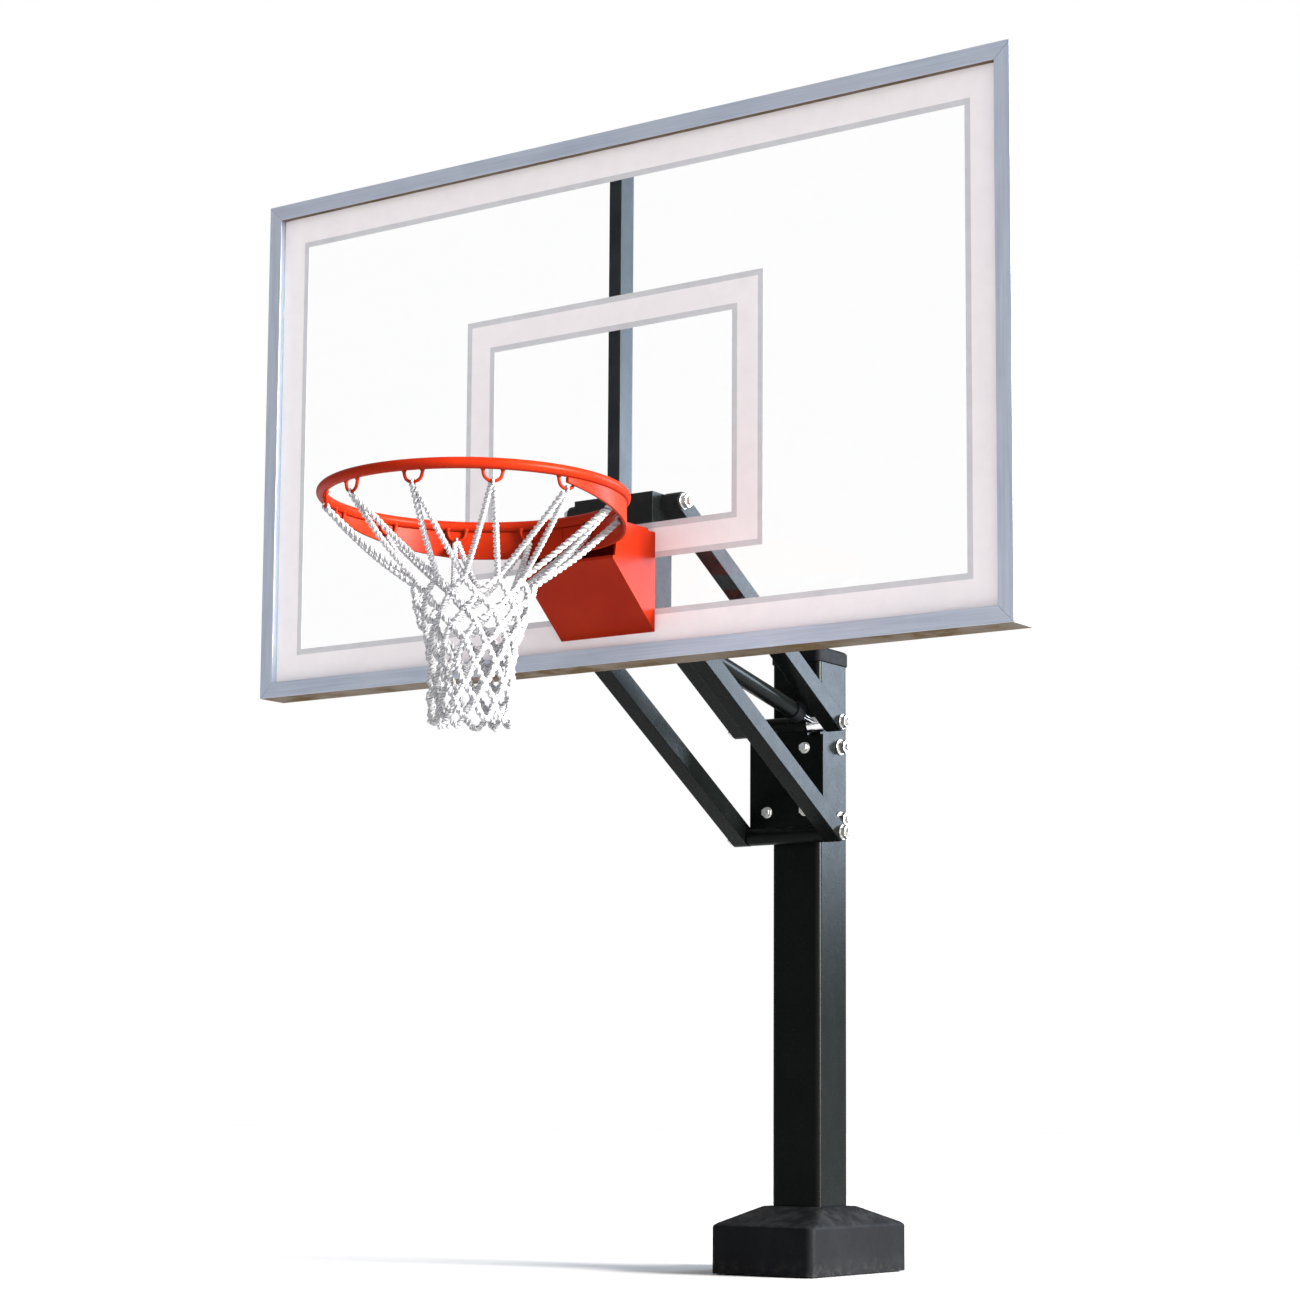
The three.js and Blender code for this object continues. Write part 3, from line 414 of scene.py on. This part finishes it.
def welded(node):
    """The CAD node's shape with shared corners and flat faces whole."""
    shape = bmesh.new()
    shape.from_mesh(NODES[node].data)
    bmesh.ops.remove_doubles(shape, verts=shape.verts, dist=2e-6)
    bmesh.ops.dissolve_limit(shape, angle_limit=math.radians(0.6), verts=shape.verts,
                             edges=shape.edges)
    mesh = bpy.data.meshes.new(node + "_detail")
    shape.to_mesh(mesh)
    shape.free()
    for name in list(mesh.attributes.keys()):
        if name.startswith("custom_normal"):
            mesh.attributes.remove(mesh.attributes[name])
    return mesh


def refine(node, material, bevel, segments=2):
    """Stands for a CAD node with the same shape, its edges rounded over and its curves smooth."""
    mesh = welded(node)
    shade(mesh, True)
    mesh = applied(mesh, ("BEVEL", {
        "width": bevel, "segments": segments, "limit_method": "ANGLE",
        "angle_limit": math.radians(35), "use_clamp_overlap": True,
        "miter_outer": "MITER_ARC"}), ("WEIGHTED_NORMAL", {"weight": 80, "keep_sharp": True}))
    mesh.name = node + "_detail"
    new_piece(node + "_detail", mesh, BODY_OF[node], material, (node,))


class Builder:
    """Collects swept tubes into one mesh."""

    def __init__(self):
        self.verts, self.faces, self.uvs = [], [], []

    def tube(self, path, radius, sides=8, closed=False, radii=None):
        """A round tube along a path of points. radii gives each point a radius of its own."""
        count = len(path)
        tangents = []
        for i in range(count):
            before = path[i - 1] if i or closed else path[0]
            after = path[(i + 1) % count] if i < count - 1 or closed else path[-1]
            tangents.append((after - before).normalized())
        side = tangents[0].orthogonal().normalized()
        first = len(self.verts)
        travelled = 0.0
        lengths = []
        for i in range(count):
            if i:
                travelled += (path[i] - path[i - 1]).length
                side = side - tangents[i] * side.dot(tangents[i])
                side.normalize()
            lengths.append(travelled)
            other = tangents[i].cross(side)
            size = radii[i] if radii else radius
            for k in range(sides):
                angle = 2 * math.pi * k / sides
                self.verts.append(path[i] + (side * math.cos(angle)
                                             + other * math.sin(angle)) * size)
        around = 2 * math.pi * radius
        for i in range(count if closed else count - 1):
            j = (i + 1) % count
            v0 = lengths[i] / around
            v1 = (lengths[j] if j else travelled) / around
            for k in range(sides):
                n = (k + 1) % sides
                self.faces.append((first + i * sides + k, first + i * sides + n,
                                   first + j * sides + n, first + j * sides + k))
                u0, u1 = k / sides, (k + 1) / sides
                self.uvs.append(((u0, v0), (u1, v0), (u1, v1), (u0, v1)))
        if not closed:
            last = first + (count - 1) * sides
            self.faces.append(tuple(reversed(range(first, first + sides))))
            self.faces.append(tuple(range(last, last + sides)))
            self.uvs += [((0.5, 0.5),) * sides] * 2

    def torus(self, centre, axis, major, minor, around, sides=8):
        axis = axis.normalized()
        a = axis.orthogonal().normalized()
        b = axis.cross(a)
        path = [centre + (a * math.cos(2 * math.pi * i / around)
                          + b * math.sin(2 * math.pi * i / around)) * major
                for i in range(around)]
        self.tube(path, minor, sides, closed=True)

    def mesh(self, name):
        return mesh_from(name, self.verts, self.faces, self.uvs)


def smooth_path(points, per):
    """A Catmull-Rom curve through the points, with so many steps from each to the next."""
    result = []
    count = len(points)
    for i in range(count - 1):
        p0 = points[max(0, i - 1)]
        p1, p2 = points[i], points[i + 1]
        p3 = points[min(count - 1, i + 2)]
        for k in range(per):
            t = k / per
            result.append(0.5 * ((2 * p1) + (p2 - p0) * t + (2 * p0 - 5 * p1 + 4 * p2 - p3) * t * t
                                 + (3 * p1 - p0 - 3 * p2 + p3) * t ** 3))
    result.append(points[-1].copy())
    return result


def resampled(points, step):
    """Points spaced evenly along a path."""
    result = [points[0].copy()]
    spare = 0.0
    for a, b in zip(points, points[1:]):
        length = (b - a).length
        at = step - spare
        while at < length:
            result.append(a.lerp(b, at / length))
            at += step
        spare = length - (at - step)
    result.append(points[-1].copy())
    return result


def level_ring(half_x, half_y, corner, z, steps=8):
    """Points round a level rounded rectangle, anticlockwise."""
    points = []
    for quarter, (sx, sy) in enumerate(((1, 1), (-1, 1), (-1, -1), (1, -1))):
        for k in range(steps + 1):
            angle = math.pi / 2 * (quarter + k / steps)
            points.append((sx * (half_x - corner) + corner * math.cos(angle),
                           sy * (half_y - corner) + corner * math.sin(angle), z))
    return points


def skinned(name, rings, close=True):
    """A closed skin through rings of the same number of points.

    With close, the last ring joins the first. Otherwise both end rings are filled in.
    """
    count = len(rings[0])
    verts = [Vector(p) for ring in rings for p in ring]
    faces = []
    for i in range(len(rings) if close else len(rings) - 1):
        j = (i + 1) % len(rings)
        for k in range(count):
            n = (k + 1) % count
            faces.append((i * count + k, i * count + n, j * count + n, j * count + k))
    if not close:
        faces.append(tuple(reversed(range(count))))
        faces.append(tuple(range((len(rings) - 1) * count, len(rings) * count)))
    mesh = mesh_from(name, verts, faces)
    shape = bmesh.new()
    shape.from_mesh(mesh)
    bmesh.ops.recalc_face_normals(shape, faces=shape.faces)
    shape.to_mesh(mesh)
    shape.free()
    return mesh


def softened(name, rings, weight, close=True):
    """A skin whose flat faces look flat although its shading is smooth."""
    return applied(skinned(name, rings, close), ("WEIGHTED_NORMAL", {"weight": weight}))


# ---------------------------------------------------------------- pieces kept with rounded edges

for node in ("post_saddle", "arm_bracket", "arm_channel", "upper_spacer", "lower_spacer",
             "base_plate"):
    refine(node, BLACK, 0.0012)
for node in ("upper_arm_left", "upper_arm_right", "lower_arm_left", "lower_arm_right"):
    refine(node, BLACK, 0.0028, 3)
refine("centre_support", NAVY, 0.0024, 3)
refine("strut_tube", BLACK, 0.0010)
refine("strut_collar", MOULDING, 0.0016, 3)
refine("strut_rod", ROD, 0.0006)
for node in ("frame_left", "frame_right"):
    refine(node, FRAME_Z, 0.0010, 3)
for node in ("frame_top", "frame_bottom"):
    refine(node, FRAME_X, 0.0010, 3)
refine("rim_housing", ORANGE, 0.0014, 3)
refine("rim_top_plate", ORANGE, 0.0012, 3)
refine("glass_panel", GLASS, 0.0006)
for node in sorted(NODES):
    if "bolt" in node or node == "rim_hinge_pin":
        refine(node, ZINC, 0.0007)

# ---------------------------------------------------------------- post, cap and base cover

POST_STEPS = 12
FIT_GAP = 0.0003                # between the post and its cap
PLUG_CORNER = 0.005
CAP_EDGE = 0.0012               # rounding of the cap's lower edge
CAP_CORNER = 0.013
# The cap's crown: in from its side, down from its top, and the corner radius there.
CAP_CROWN = ((0.0, 0.0085, 0.013), (0.0010, 0.0058, 0.0122), (0.0042, 0.0032, 0.0110),
             (0.0110, 0.0006, 0.010), (0.0180, 0.0, 0.008))

post_low, post_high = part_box("post")
post_half = post_high.x
bore = post_half - POST_WALL
levels = [post_low.z + (post_high.z - post_low.z) * i / POST_STEPS for i in range(POST_STEPS + 1)]
rings = [level_ring(post_half, post_half, POST_CORNER, z) for z in levels]
rings += [level_ring(bore, bore, POST_CORNER - POST_WALL, z) for z in reversed(levels)]
new_piece("post_tube", softened("post_tube", rings, 60), "root", BLACK,
          ("post",))

cap_low, cap_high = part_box("post_cap")
cap_half = cap_high.x
seat = post_high.z + FIT_GAP
profile = [(bore - FIT_GAP, PLUG_CORNER, cap_low.z), (bore - FIT_GAP, PLUG_CORNER, seat),
           (cap_half - CAP_EDGE, CAP_CORNER - CAP_EDGE, seat),
           (cap_half, CAP_CORNER, seat + CAP_EDGE)]
profile += [(cap_half - inset, corner, cap_high.z - down) for inset, down, corner in CAP_CROWN]
rings = [level_ring(half, half, corner, z) for half, corner, z in profile]
new_piece("post_cap_moulding", softened("post_cap_moulding", rings, 50, close=False), "root",
          MOULDING, ("post_cap",))

COVER_INNER_CORNER = COVER_CORNER - COVER_WALL
LEDGE_CORNER = 0.0095
HIP_STEPS = (0.10, 0.30, 0.55, 0.80)
HIP_END, HIP_END_DROP = 0.955, 0.0001

cover_low, cover_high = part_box("base_cover")
cover_x, cover_y = cover_high.x, cover_high.y
foot, crest = cover_low.z, cover_high.z
ledge = post_half + COVER_LEDGE


def cover_ring(half_x, half_y, z, corner):
    return level_ring(half_x, half_y, corner, z, 10)


def hip(t, drop=0.0):
    """A ring of the hipped top, t of the way from the upright sides to the ledge."""
    return cover_ring(cover_x + (ledge - cover_x) * t, cover_y + (ledge - cover_y) * t,
                      COVER_SIDE + (crest - COVER_SIDE) * t - drop,
                      COVER_CORNER + (LEDGE_CORNER - COVER_CORNER) * t)


# The side: in from its faces along x and y, the height, and the corner radius there.
side = [cover_ring(cover_x - in_x, cover_y - in_y, z, corner) for in_x, in_y, z, corner in (
    (0.0006, 0.0006, foot, 0.0145), (0.0, 0.0, foot + 0.0008, COVER_CORNER),
    (0.0, 0.0, 0.030, COVER_CORNER), (0.0, 0.0, 0.060, COVER_CORNER),
    (0.0, 0.0, COVER_SIDE - 0.0050, COVER_CORNER),
    (0.0004, 0.0005, COVER_SIDE - 0.0026, 0.0148),
    (0.0018, 0.0020, COVER_SIDE - 0.0004, 0.0142))]
hips = [hip(t) for t in HIP_STEPS] + [hip(HIP_END, HIP_END_DROP)]
# The ledge and the hole for the post: half the width, the height, and the corner radius there.
hole = [cover_ring(half, half, z, corner) for half, z, corner in (
    (ledge - 0.0012, crest, 0.0090), (post_half + 0.0016, crest, 0.0098),
    (post_half + 0.0006, crest - 0.0010, 0.0096), (post_half + 0.0006, crest - 0.0040, 0.0096),
    (ledge - 0.006, crest - 0.0045, 0.0090))]
inside = [cover_ring(cover_x - COVER_WALL, cover_y - COVER_WALL, z, COVER_INNER_CORNER)
          for z in (COVER_SIDE - COVER_WALL, foot)]
new_piece("base_cover_moulding", softened("base_cover_moulding", side + hips + hole + inside, 50),
          "root", MOULDING, ("base_cover",))

# ---------------------------------------------------------------- border and target on the glass

INK = 0.0003                    # thickness
INK_GAP = 0.0001                # keeps the ink off the glass
INK_LAP = 0.0005                # how far the border runs in behind the frame
BORDER, EDGE_LINE = 0.048, 0.010
TARGET_WIDTH, TARGET_HEIGHT, TARGET_ABOVE, TARGET_LINE = 0.6096, 0.4572, 0.171, 0.0600


def band(name, outer, inset, width, material):
    """A rectangular outline of ink on the front of the glass, inset from outer edges."""
    x0, x1, z0, z1 = outer

    def ring(into, y):
        return [(x0 + into, y, z0 + into), (x1 - into, y, z0 + into),
                (x1 - into, y, z1 - into), (x0 + into, y, z1 - into)]

    front, back = glass_front - INK - INK_GAP, glass_front - INK_GAP
    mesh = skinned(name, [ring(inset, back), ring(inset, front), ring(inset + width, front),
                          ring(inset + width, back)])
    shade(mesh, False)
    new_piece(name, mesh, BODY_OF["glass_panel"], material)


border = (board_low.x + RAIL_FACE - INK_LAP, board_high.x - RAIL_FACE + INK_LAP,
          board_low.z + RAIL_FACE - INK_LAP, board_high.z - RAIL_FACE + INK_LAP)
band("border_band", border, 0.0, BORDER, INK_WHITE)
band("border_outline", border, BORDER, EDGE_LINE, INK_GREY)

target_low = board_low.z + TARGET_ABOVE
target = (-TARGET_WIDTH / 2, TARGET_WIDTH / 2, target_low, target_low + TARGET_HEIGHT)
band("target_outline_outer", target, 0.0, EDGE_LINE, INK_GREY)
band("target_band", target, EDGE_LINE, TARGET_LINE - 2 * EDGE_LINE, INK_WHITE)
band("target_outline_inner", target, TARGET_LINE - EDGE_LINE, EDGE_LINE, INK_GREY)

# ---------------------------------------------------------------- ring, hooks, braces, springs

RING_AROUND, RING_SIDES = 224, 24
HOOK_BEND = ((0.97, 0.35), (0.72, 0.78))    # shares of half the hook's width and of its drop
HOOK_STEPS, HOOK_SIDES = 6, 12
# Weld beads where the hooks meet the ring, from the top: radii, and the move to the next one.
BEAD_RADII = [0.0046, 0.0048, 0.0043, 0.0034, 0.0026]
BEAD_START = 0.0010             # outwards and upwards from the hook's end
BEAD_IN, BEAD_DOWN = 0.0010 / 4, 0.0014
BEAD_MEAN = 0.004
# Where the brace's taper starts and where its tip is, in angles from the back of the ring.
BRACE_FULL, BRACE_END = math.radians(40), math.radians(106)
BRACE_MEETING = 0.00015         # half the gap between the two braces
BRACE_STEPS = 110
BRACE_TAPER = 1.4
BRACE_GAP = 0.0003              # under the ring
BRACE_CHAMFER = 0.0007
SPRING_STEPS = 32               # for one turn
SPRING_LEG, SPRING_LEG_STEPS = 0.003, 9


def at_ring(angle, radius, z, along=0.0):
    """A point by its angle round the ring, its radius, its height and a shift along the ring."""
    c, s = math.cos(angle), math.sin(angle)
    return ring_centre + Vector((radius * c - along * s, radius * s + along * c, z))


def hook_angle(index):
    return (index + 0.5) / HOOK_COUNT * 2 * math.pi


ring = Builder()
ring.torus(ring_centre, UP, RING_RADIUS, RING_ROD / 2, RING_AROUND, RING_SIDES)
half_hook = HOOK_WIDTH / 2
for i in range(HOOK_COUNT):
    a = hook_angle(i)
    bend = [(half_hook * out, -HOOK_TOP - HOOK_DROP * down) for out, down in HOOK_BEND]
    one_side = [(half_hook, -HOOK_TOP)] + bend
    profile = ([(-t, z) for t, z in one_side] + [(0, -HOOK_TOP - HOOK_DROP)]
               + list(reversed(one_side)))
    points = [at_ring(a, HOOK_RADIUS, z, t) for t, z in profile]
    ring.tube(smooth_path(points, HOOK_STEPS), HOOK_WIRE / 2, HOOK_SIDES)
    for sign in (-1, 1):
        bead = [at_ring(a, HOOK_RADIUS + BEAD_START - BEAD_IN * k,
                        -HOOK_TOP + BEAD_START - BEAD_DOWN * k, sign * half_hook)
                for k in range(len(BEAD_RADII))]
        ring.tube(bead, BEAD_MEAN, HOOK_SIDES, radii=BEAD_RADII)
new_piece("rim_ring_steel", ring.mesh("rim_ring_steel"), "rim", ORANGE,
          ("rim_ring",))


def brace(side):
    """The flat bar under the ring from the back round one side, tapering to its tip."""
    start = math.asin(BRACE_MEETING / BRACE_INSIDE)
    top = -RING_ROD / 2 - BRACE_GAP
    rings = []
    for i in range(BRACE_STEPS + 1):
        angle = start + (BRACE_END - start) * i / BRACE_STEPS
        along = max(0.0, (angle - BRACE_FULL) / (BRACE_END - BRACE_FULL))
        height = BRACE_TIP + (BRACE_HEIGHT - BRACE_TIP) * (1 - along ** BRACE_TAPER)
        points = []
        corners = [(0, 0), (BRACE_THICK, 0), (BRACE_THICK, -height), (0, -height)]
        for k, (r, z) in enumerate(corners):
            for to_r, to_z in (corners[k - 1], corners[(k + 1) % 4]):
                points.append((r + ((to_r > r) - (to_r < r)) * BRACE_CHAMFER,
                               z + ((to_z > z) - (to_z < z)) * BRACE_CHAMFER))
        rings.append([ring_centre + Vector((side * (BRACE_INSIDE + r) * math.sin(angle),
                                            (BRACE_INSIDE + r) * math.cos(angle), top + z))
                      for r, z in points])
    return softened("brace", rings, 60, close=False)


for name, side in (("rim_brace_left", -1), ("rim_brace_right", 1)):
    new_piece(name + "_band", brace(side), "rim", ORANGE, (name,))

pin_low, pin_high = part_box("rim_hinge_pin")
pin_y, pin_z = (pin_low.y + pin_high.y) / 2, (pin_low.z + pin_high.z) / 2
for name in ("rim_spring_left", "rim_spring_right"):
    spring_low, spring_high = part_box(name)
    x0, x1 = spring_low.x + SPRING_WIRE / 2, spring_high.x - SPRING_WIRE / 2
    count = SPRING_TURNS * SPRING_STEPS
    path = []
    for i in range(count + 1):
        t = i / count
        angle = t * SPRING_TURNS * 2 * math.pi
        path.append(Vector((x0 + (x1 - x0) * t, pin_y - SPRING_MEAN / 2 * math.sin(angle),
                            pin_z - SPRING_MEAN / 2 * math.cos(angle))))
    end = path[-1]
    path += [end + Vector((0, SPRING_LEG * k, 0)) for k in range(1, SPRING_LEG_STEPS + 1)]
    spring = Builder()
    spring.tube(path, SPRING_WIRE / 2)
    new_piece(name + "_coil", spring.mesh(name + "_coil"), BODY_OF[name], ZINC, (name,))

# ---------------------------------------------------------------- net

PLY = 0.0030                    # radius of each of the two cords that are twisted together
PLY_SIDES = 7
PLY_LAP = 0.86                  # how far apart the two lie, as a share of touching
TWIST = 0.020                   # length of one turn of the twist
CORD_STEP, FAN_STEP = 0.0035, 0.0040
LOOP_WIRE = 0.0019              # the turn of cord round each hook
SAG_AT = (0.2, 0.45, 0.72)      # shares of the way down a cord from a hook
# Each row of knots: its radius, and its depth under the hooks.
KNOT_ROWS = [(0.0940, 0.114), (0.0880, 0.137), (0.0810, 0.161), (0.0735, 0.184),
             (0.0655, 0.208), (0.0600, 0.240), (0.0605, 0.276), (0.0620, 0.302)]
KNOT_STRAY = (0.10, 0.005, 0.008)   # whole spread of a knot's angle, radius and depth

hook_low = -(HOOK_TOP + HOOK_DROP)
net_top = hook_low - HOOK_WIRE / 2
net = Builder()


def down(distance):
    return Vector((0, 0, -distance))


def outwards(point):
    """The level direction from the ring's middle to a point."""
    return Vector((point.x - ring_centre.x, point.y - ring_centre.y, 0)).normalized()


def knot_place(row, index):
    """A knot's centre, a little out of its even place. Odd rows stand half a step round."""
    radius, depth = KNOT_ROWS[row]
    rng = random.Random(row * 101 + index * 7)
    shift = 0.5 if row % 2 else 0.0
    turned, wider, lower = [(rng.random() - 0.5) * stray for stray in KNOT_STRAY]
    return at_ring(hook_angle(index + shift + 0.5) + turned, radius + wider,
                   net_top - (depth + lower))


def two_ply(points, per, step):
    """Two cords twisted together along a smooth curve through the points."""
    path = resampled(smooth_path(points, per), step)
    lengths = [0.0]
    for a, b in zip(path, path[1:]):
        lengths.append(lengths[-1] + (b - a).length)
    side = (path[1] - path[0]).normalized().orthogonal()
    strands = ([], [])
    for i, point in enumerate(path):
        tangent = (path[min(i + 1, len(path) - 1)] - path[max(i - 1, 0)]).normalized()
        side = (side - tangent * side.dot(tangent)).normalized()
        other = tangent.cross(side)
        angle = 2 * math.pi * lengths[i] / TWIST
        offset = (side * math.cos(angle) + other * math.sin(angle)) * PLY * PLY_LAP
        strands[0].append(point + offset)
        strands[1].append(point - offset)
    for strand in strands:
        net.tube(strand, PLY, PLY_SIDES)


# From each hook two twisted cords fan down to the first row of knots.
for i in range(HOOK_COUNT):
    a = hook_angle(i)
    along_ring = at_ring(a, 1.0, 0) - at_ring(a, 1.0, 0, -1.0)
    net.torus(at_ring(a, HOOK_RADIUS - 0.0002, hook_low - 0.0003), along_ring,
              HOOK_WIRE / 2 + LOOP_WIRE, LOOP_WIRE, 20)
    for sign in (-1, 1):
        knot = knot_place(0, (i - 1) % HOOK_COUNT if sign < 0 else i)
        start = at_ring(a, HOOK_RADIUS - 0.0012, net_top - 0.0004, sign * 0.0022)
        rng = random.Random(i * 3 + sign)
        sag = 0.002 + 0.006 * rng.random()
        hanging = [start.lerp(knot, t) + down(sag * math.sin(math.pi * t)) for t in SAG_AT]
        two_ply([start, *hanging, knot], 10, FAN_STEP)

# Diamond mesh below, down to the last row.
for row in range(len(KNOT_ROWS) - 1):
    back = 1 - row % 2
    for i in range(HOOK_COUNT):
        above = knot_place(row, i)
        for step in (0, 1):
            below = knot_place(row + 1, (i - back + step) % HOOK_COUNT)
            rng = random.Random(row * 31 + i * 5 + step)
            middle = above.lerp(below, 0.5) + outwards(above) * (0.002 + 0.003 * rng.random())
            middle.z -= 0.001 + 0.002 * rng.random()
            two_ply([above, middle, below], 6, CORD_STEP)

# Knots: a turn of cord round each crossing, a second one under it, and one on its outside.
for row in range(len(KNOT_ROWS)):
    for i in range(HOOK_COUNT):
        centre = knot_place(row, i)
        rng = random.Random(row * 59 + i)
        out = outwards(centre)
        lean = Vector((rng.random() - 0.5, rng.random() - 0.5, 0)) * 0.5
        net.torus(centre, UP + lean, 0.0040, 0.0024, 16)
        net.torus(centre + down(0.0028), UP - lean, 0.0034, 0.0021, 16)
        net.torus(centre + out * 0.002, out + lean, 0.0026, 0.0022, 14)

# The last row ends in hanging loops, some of them slack, and short cut tails.
for i in range(HOOK_COUNT):
    a = knot_place(len(KNOT_ROWS) - 1, i)
    b = knot_place(len(KNOT_ROWS) - 1, (i + 1) % HOOK_COUNT)
    rng = random.Random(500 + i)
    drop = 0.022 + 0.012 * rng.random()
    middle = (a + b) / 2
    middle = middle + outwards(middle) * (rng.random() - 0.35) * 0.008
    two_ply([a, a.lerp(middle, 0.35) + down(drop * 0.62), middle + down(drop),
             b.lerp(middle, 0.35) + down(drop * 0.62), b], 8, CORD_STEP)
    tail = 0.012 + 0.022 * rng.random()
    lean = Vector((rng.random() - 0.5, rng.random() - 0.5, 0)) * 0.016
    points = [a, a + lean * 0.4 + down(tail * 0.5), a + lean + down(tail)]
    net.tube(resampled(smooth_path(points, 6), CORD_STEP), PLY, PLY_SIDES)

new_piece("net_cords", net.mesh("net_cords"), "rim", CORD, ("net",))

# ---------------------------------------------------------------- floor and light

FLOOR_HALF = 40
SURROUND = 0.38                 # its strength as a light. The camera sees it at full strength

floor = mesh_from("floor", [(-FLOOR_HALF, -FLOOR_HALF, 0), (FLOOR_HALF, -FLOOR_HALF, 0),
                            (FLOOR_HALF, FLOOR_HALF, 0), (-FLOOR_HALF, FLOOR_HALF, 0)],
                  [(0, 1, 2, 3)])
shade(floor, False)
floor_shader = Shader("floor")
floor_shader.set(Base_Color=floor_shader.mix(floor_shader.noise(3.0, 4.0), (0.59, 0.59, 0.60),
                                             (0.62, 0.62, 0.63)),
                 Roughness=0.9, Specular_IOR_Level=0.1)
floor.materials.append(floor_shader.material)
floor_piece = bpy.data.objects.new("floor", floor)
scene.collection.objects.link(floor_piece)

world = bpy.data.worlds.new("studio")
scene.world = world
world.use_nodes = True
sky = world.node_tree.nodes["Background"]
sky.inputs["Color"].default_value = (1.0, 1.0, 1.0, 1)
seen = world.node_tree.nodes.new("ShaderNodeLightPath")
strength = world.node_tree.nodes.new("ShaderNodeMapRange")
strength.inputs["To Min"].default_value = SURROUND
strength.inputs["To Max"].default_value = 1.0
world.node_tree.links.new(seen.outputs["Is Camera Ray"], strength.inputs["Value"])
world.node_tree.links.new(strength.outputs[0], sky.inputs["Strength"])


def add_light(name, kind, energy, colour, direction):
    data = bpy.data.lights.new(name, kind)
    data.energy = energy
    data.color = colour
    light = bpy.data.objects.new(name, data)
    scene.collection.objects.link(light)
    light.rotation_euler = Vector(direction).to_track_quat("-Z", "Y").to_euler()
    return light


def sun(name, energy, degrees, colour, direction):
    """Parallel light, softened by the angle that its source fills."""
    add_light(name, "SUN", energy, colour, direction).data.angle = math.radians(degrees)


def card(name, at, towards, width, height, power, colour):
    """A glowing rectangle that the camera doesn't see."""
    light = add_light(name, "AREA", power, colour, Vector(towards) - Vector(at))
    light.location = at
    light.visible_camera = False
    light.data.shape = "RECTANGLE"
    light.data.size, light.data.size_y = width, height


sun("key", 18.0, 24, (1.0, 0.965, 0.91), (-0.95, -0.12, -0.25))
card("card", (2.45, 3.6, 1.90), (0.05, 0, 1.0), 1.1, 1.6, 165, (0.70, 0.83, 1.0))
card("high_card", (3.05, 3.6, 3.35), (0.0, -0.65, 1.7), 0.7, 1.6, 75, (0.74, 0.86, 1.0))
sun("fill", 1.0, 90, (0.93, 0.95, 1.0), (-0.5, 0.8, -0.3))

scene.view_settings.view_transform = "Standard"
scene.view_settings.look = "None"
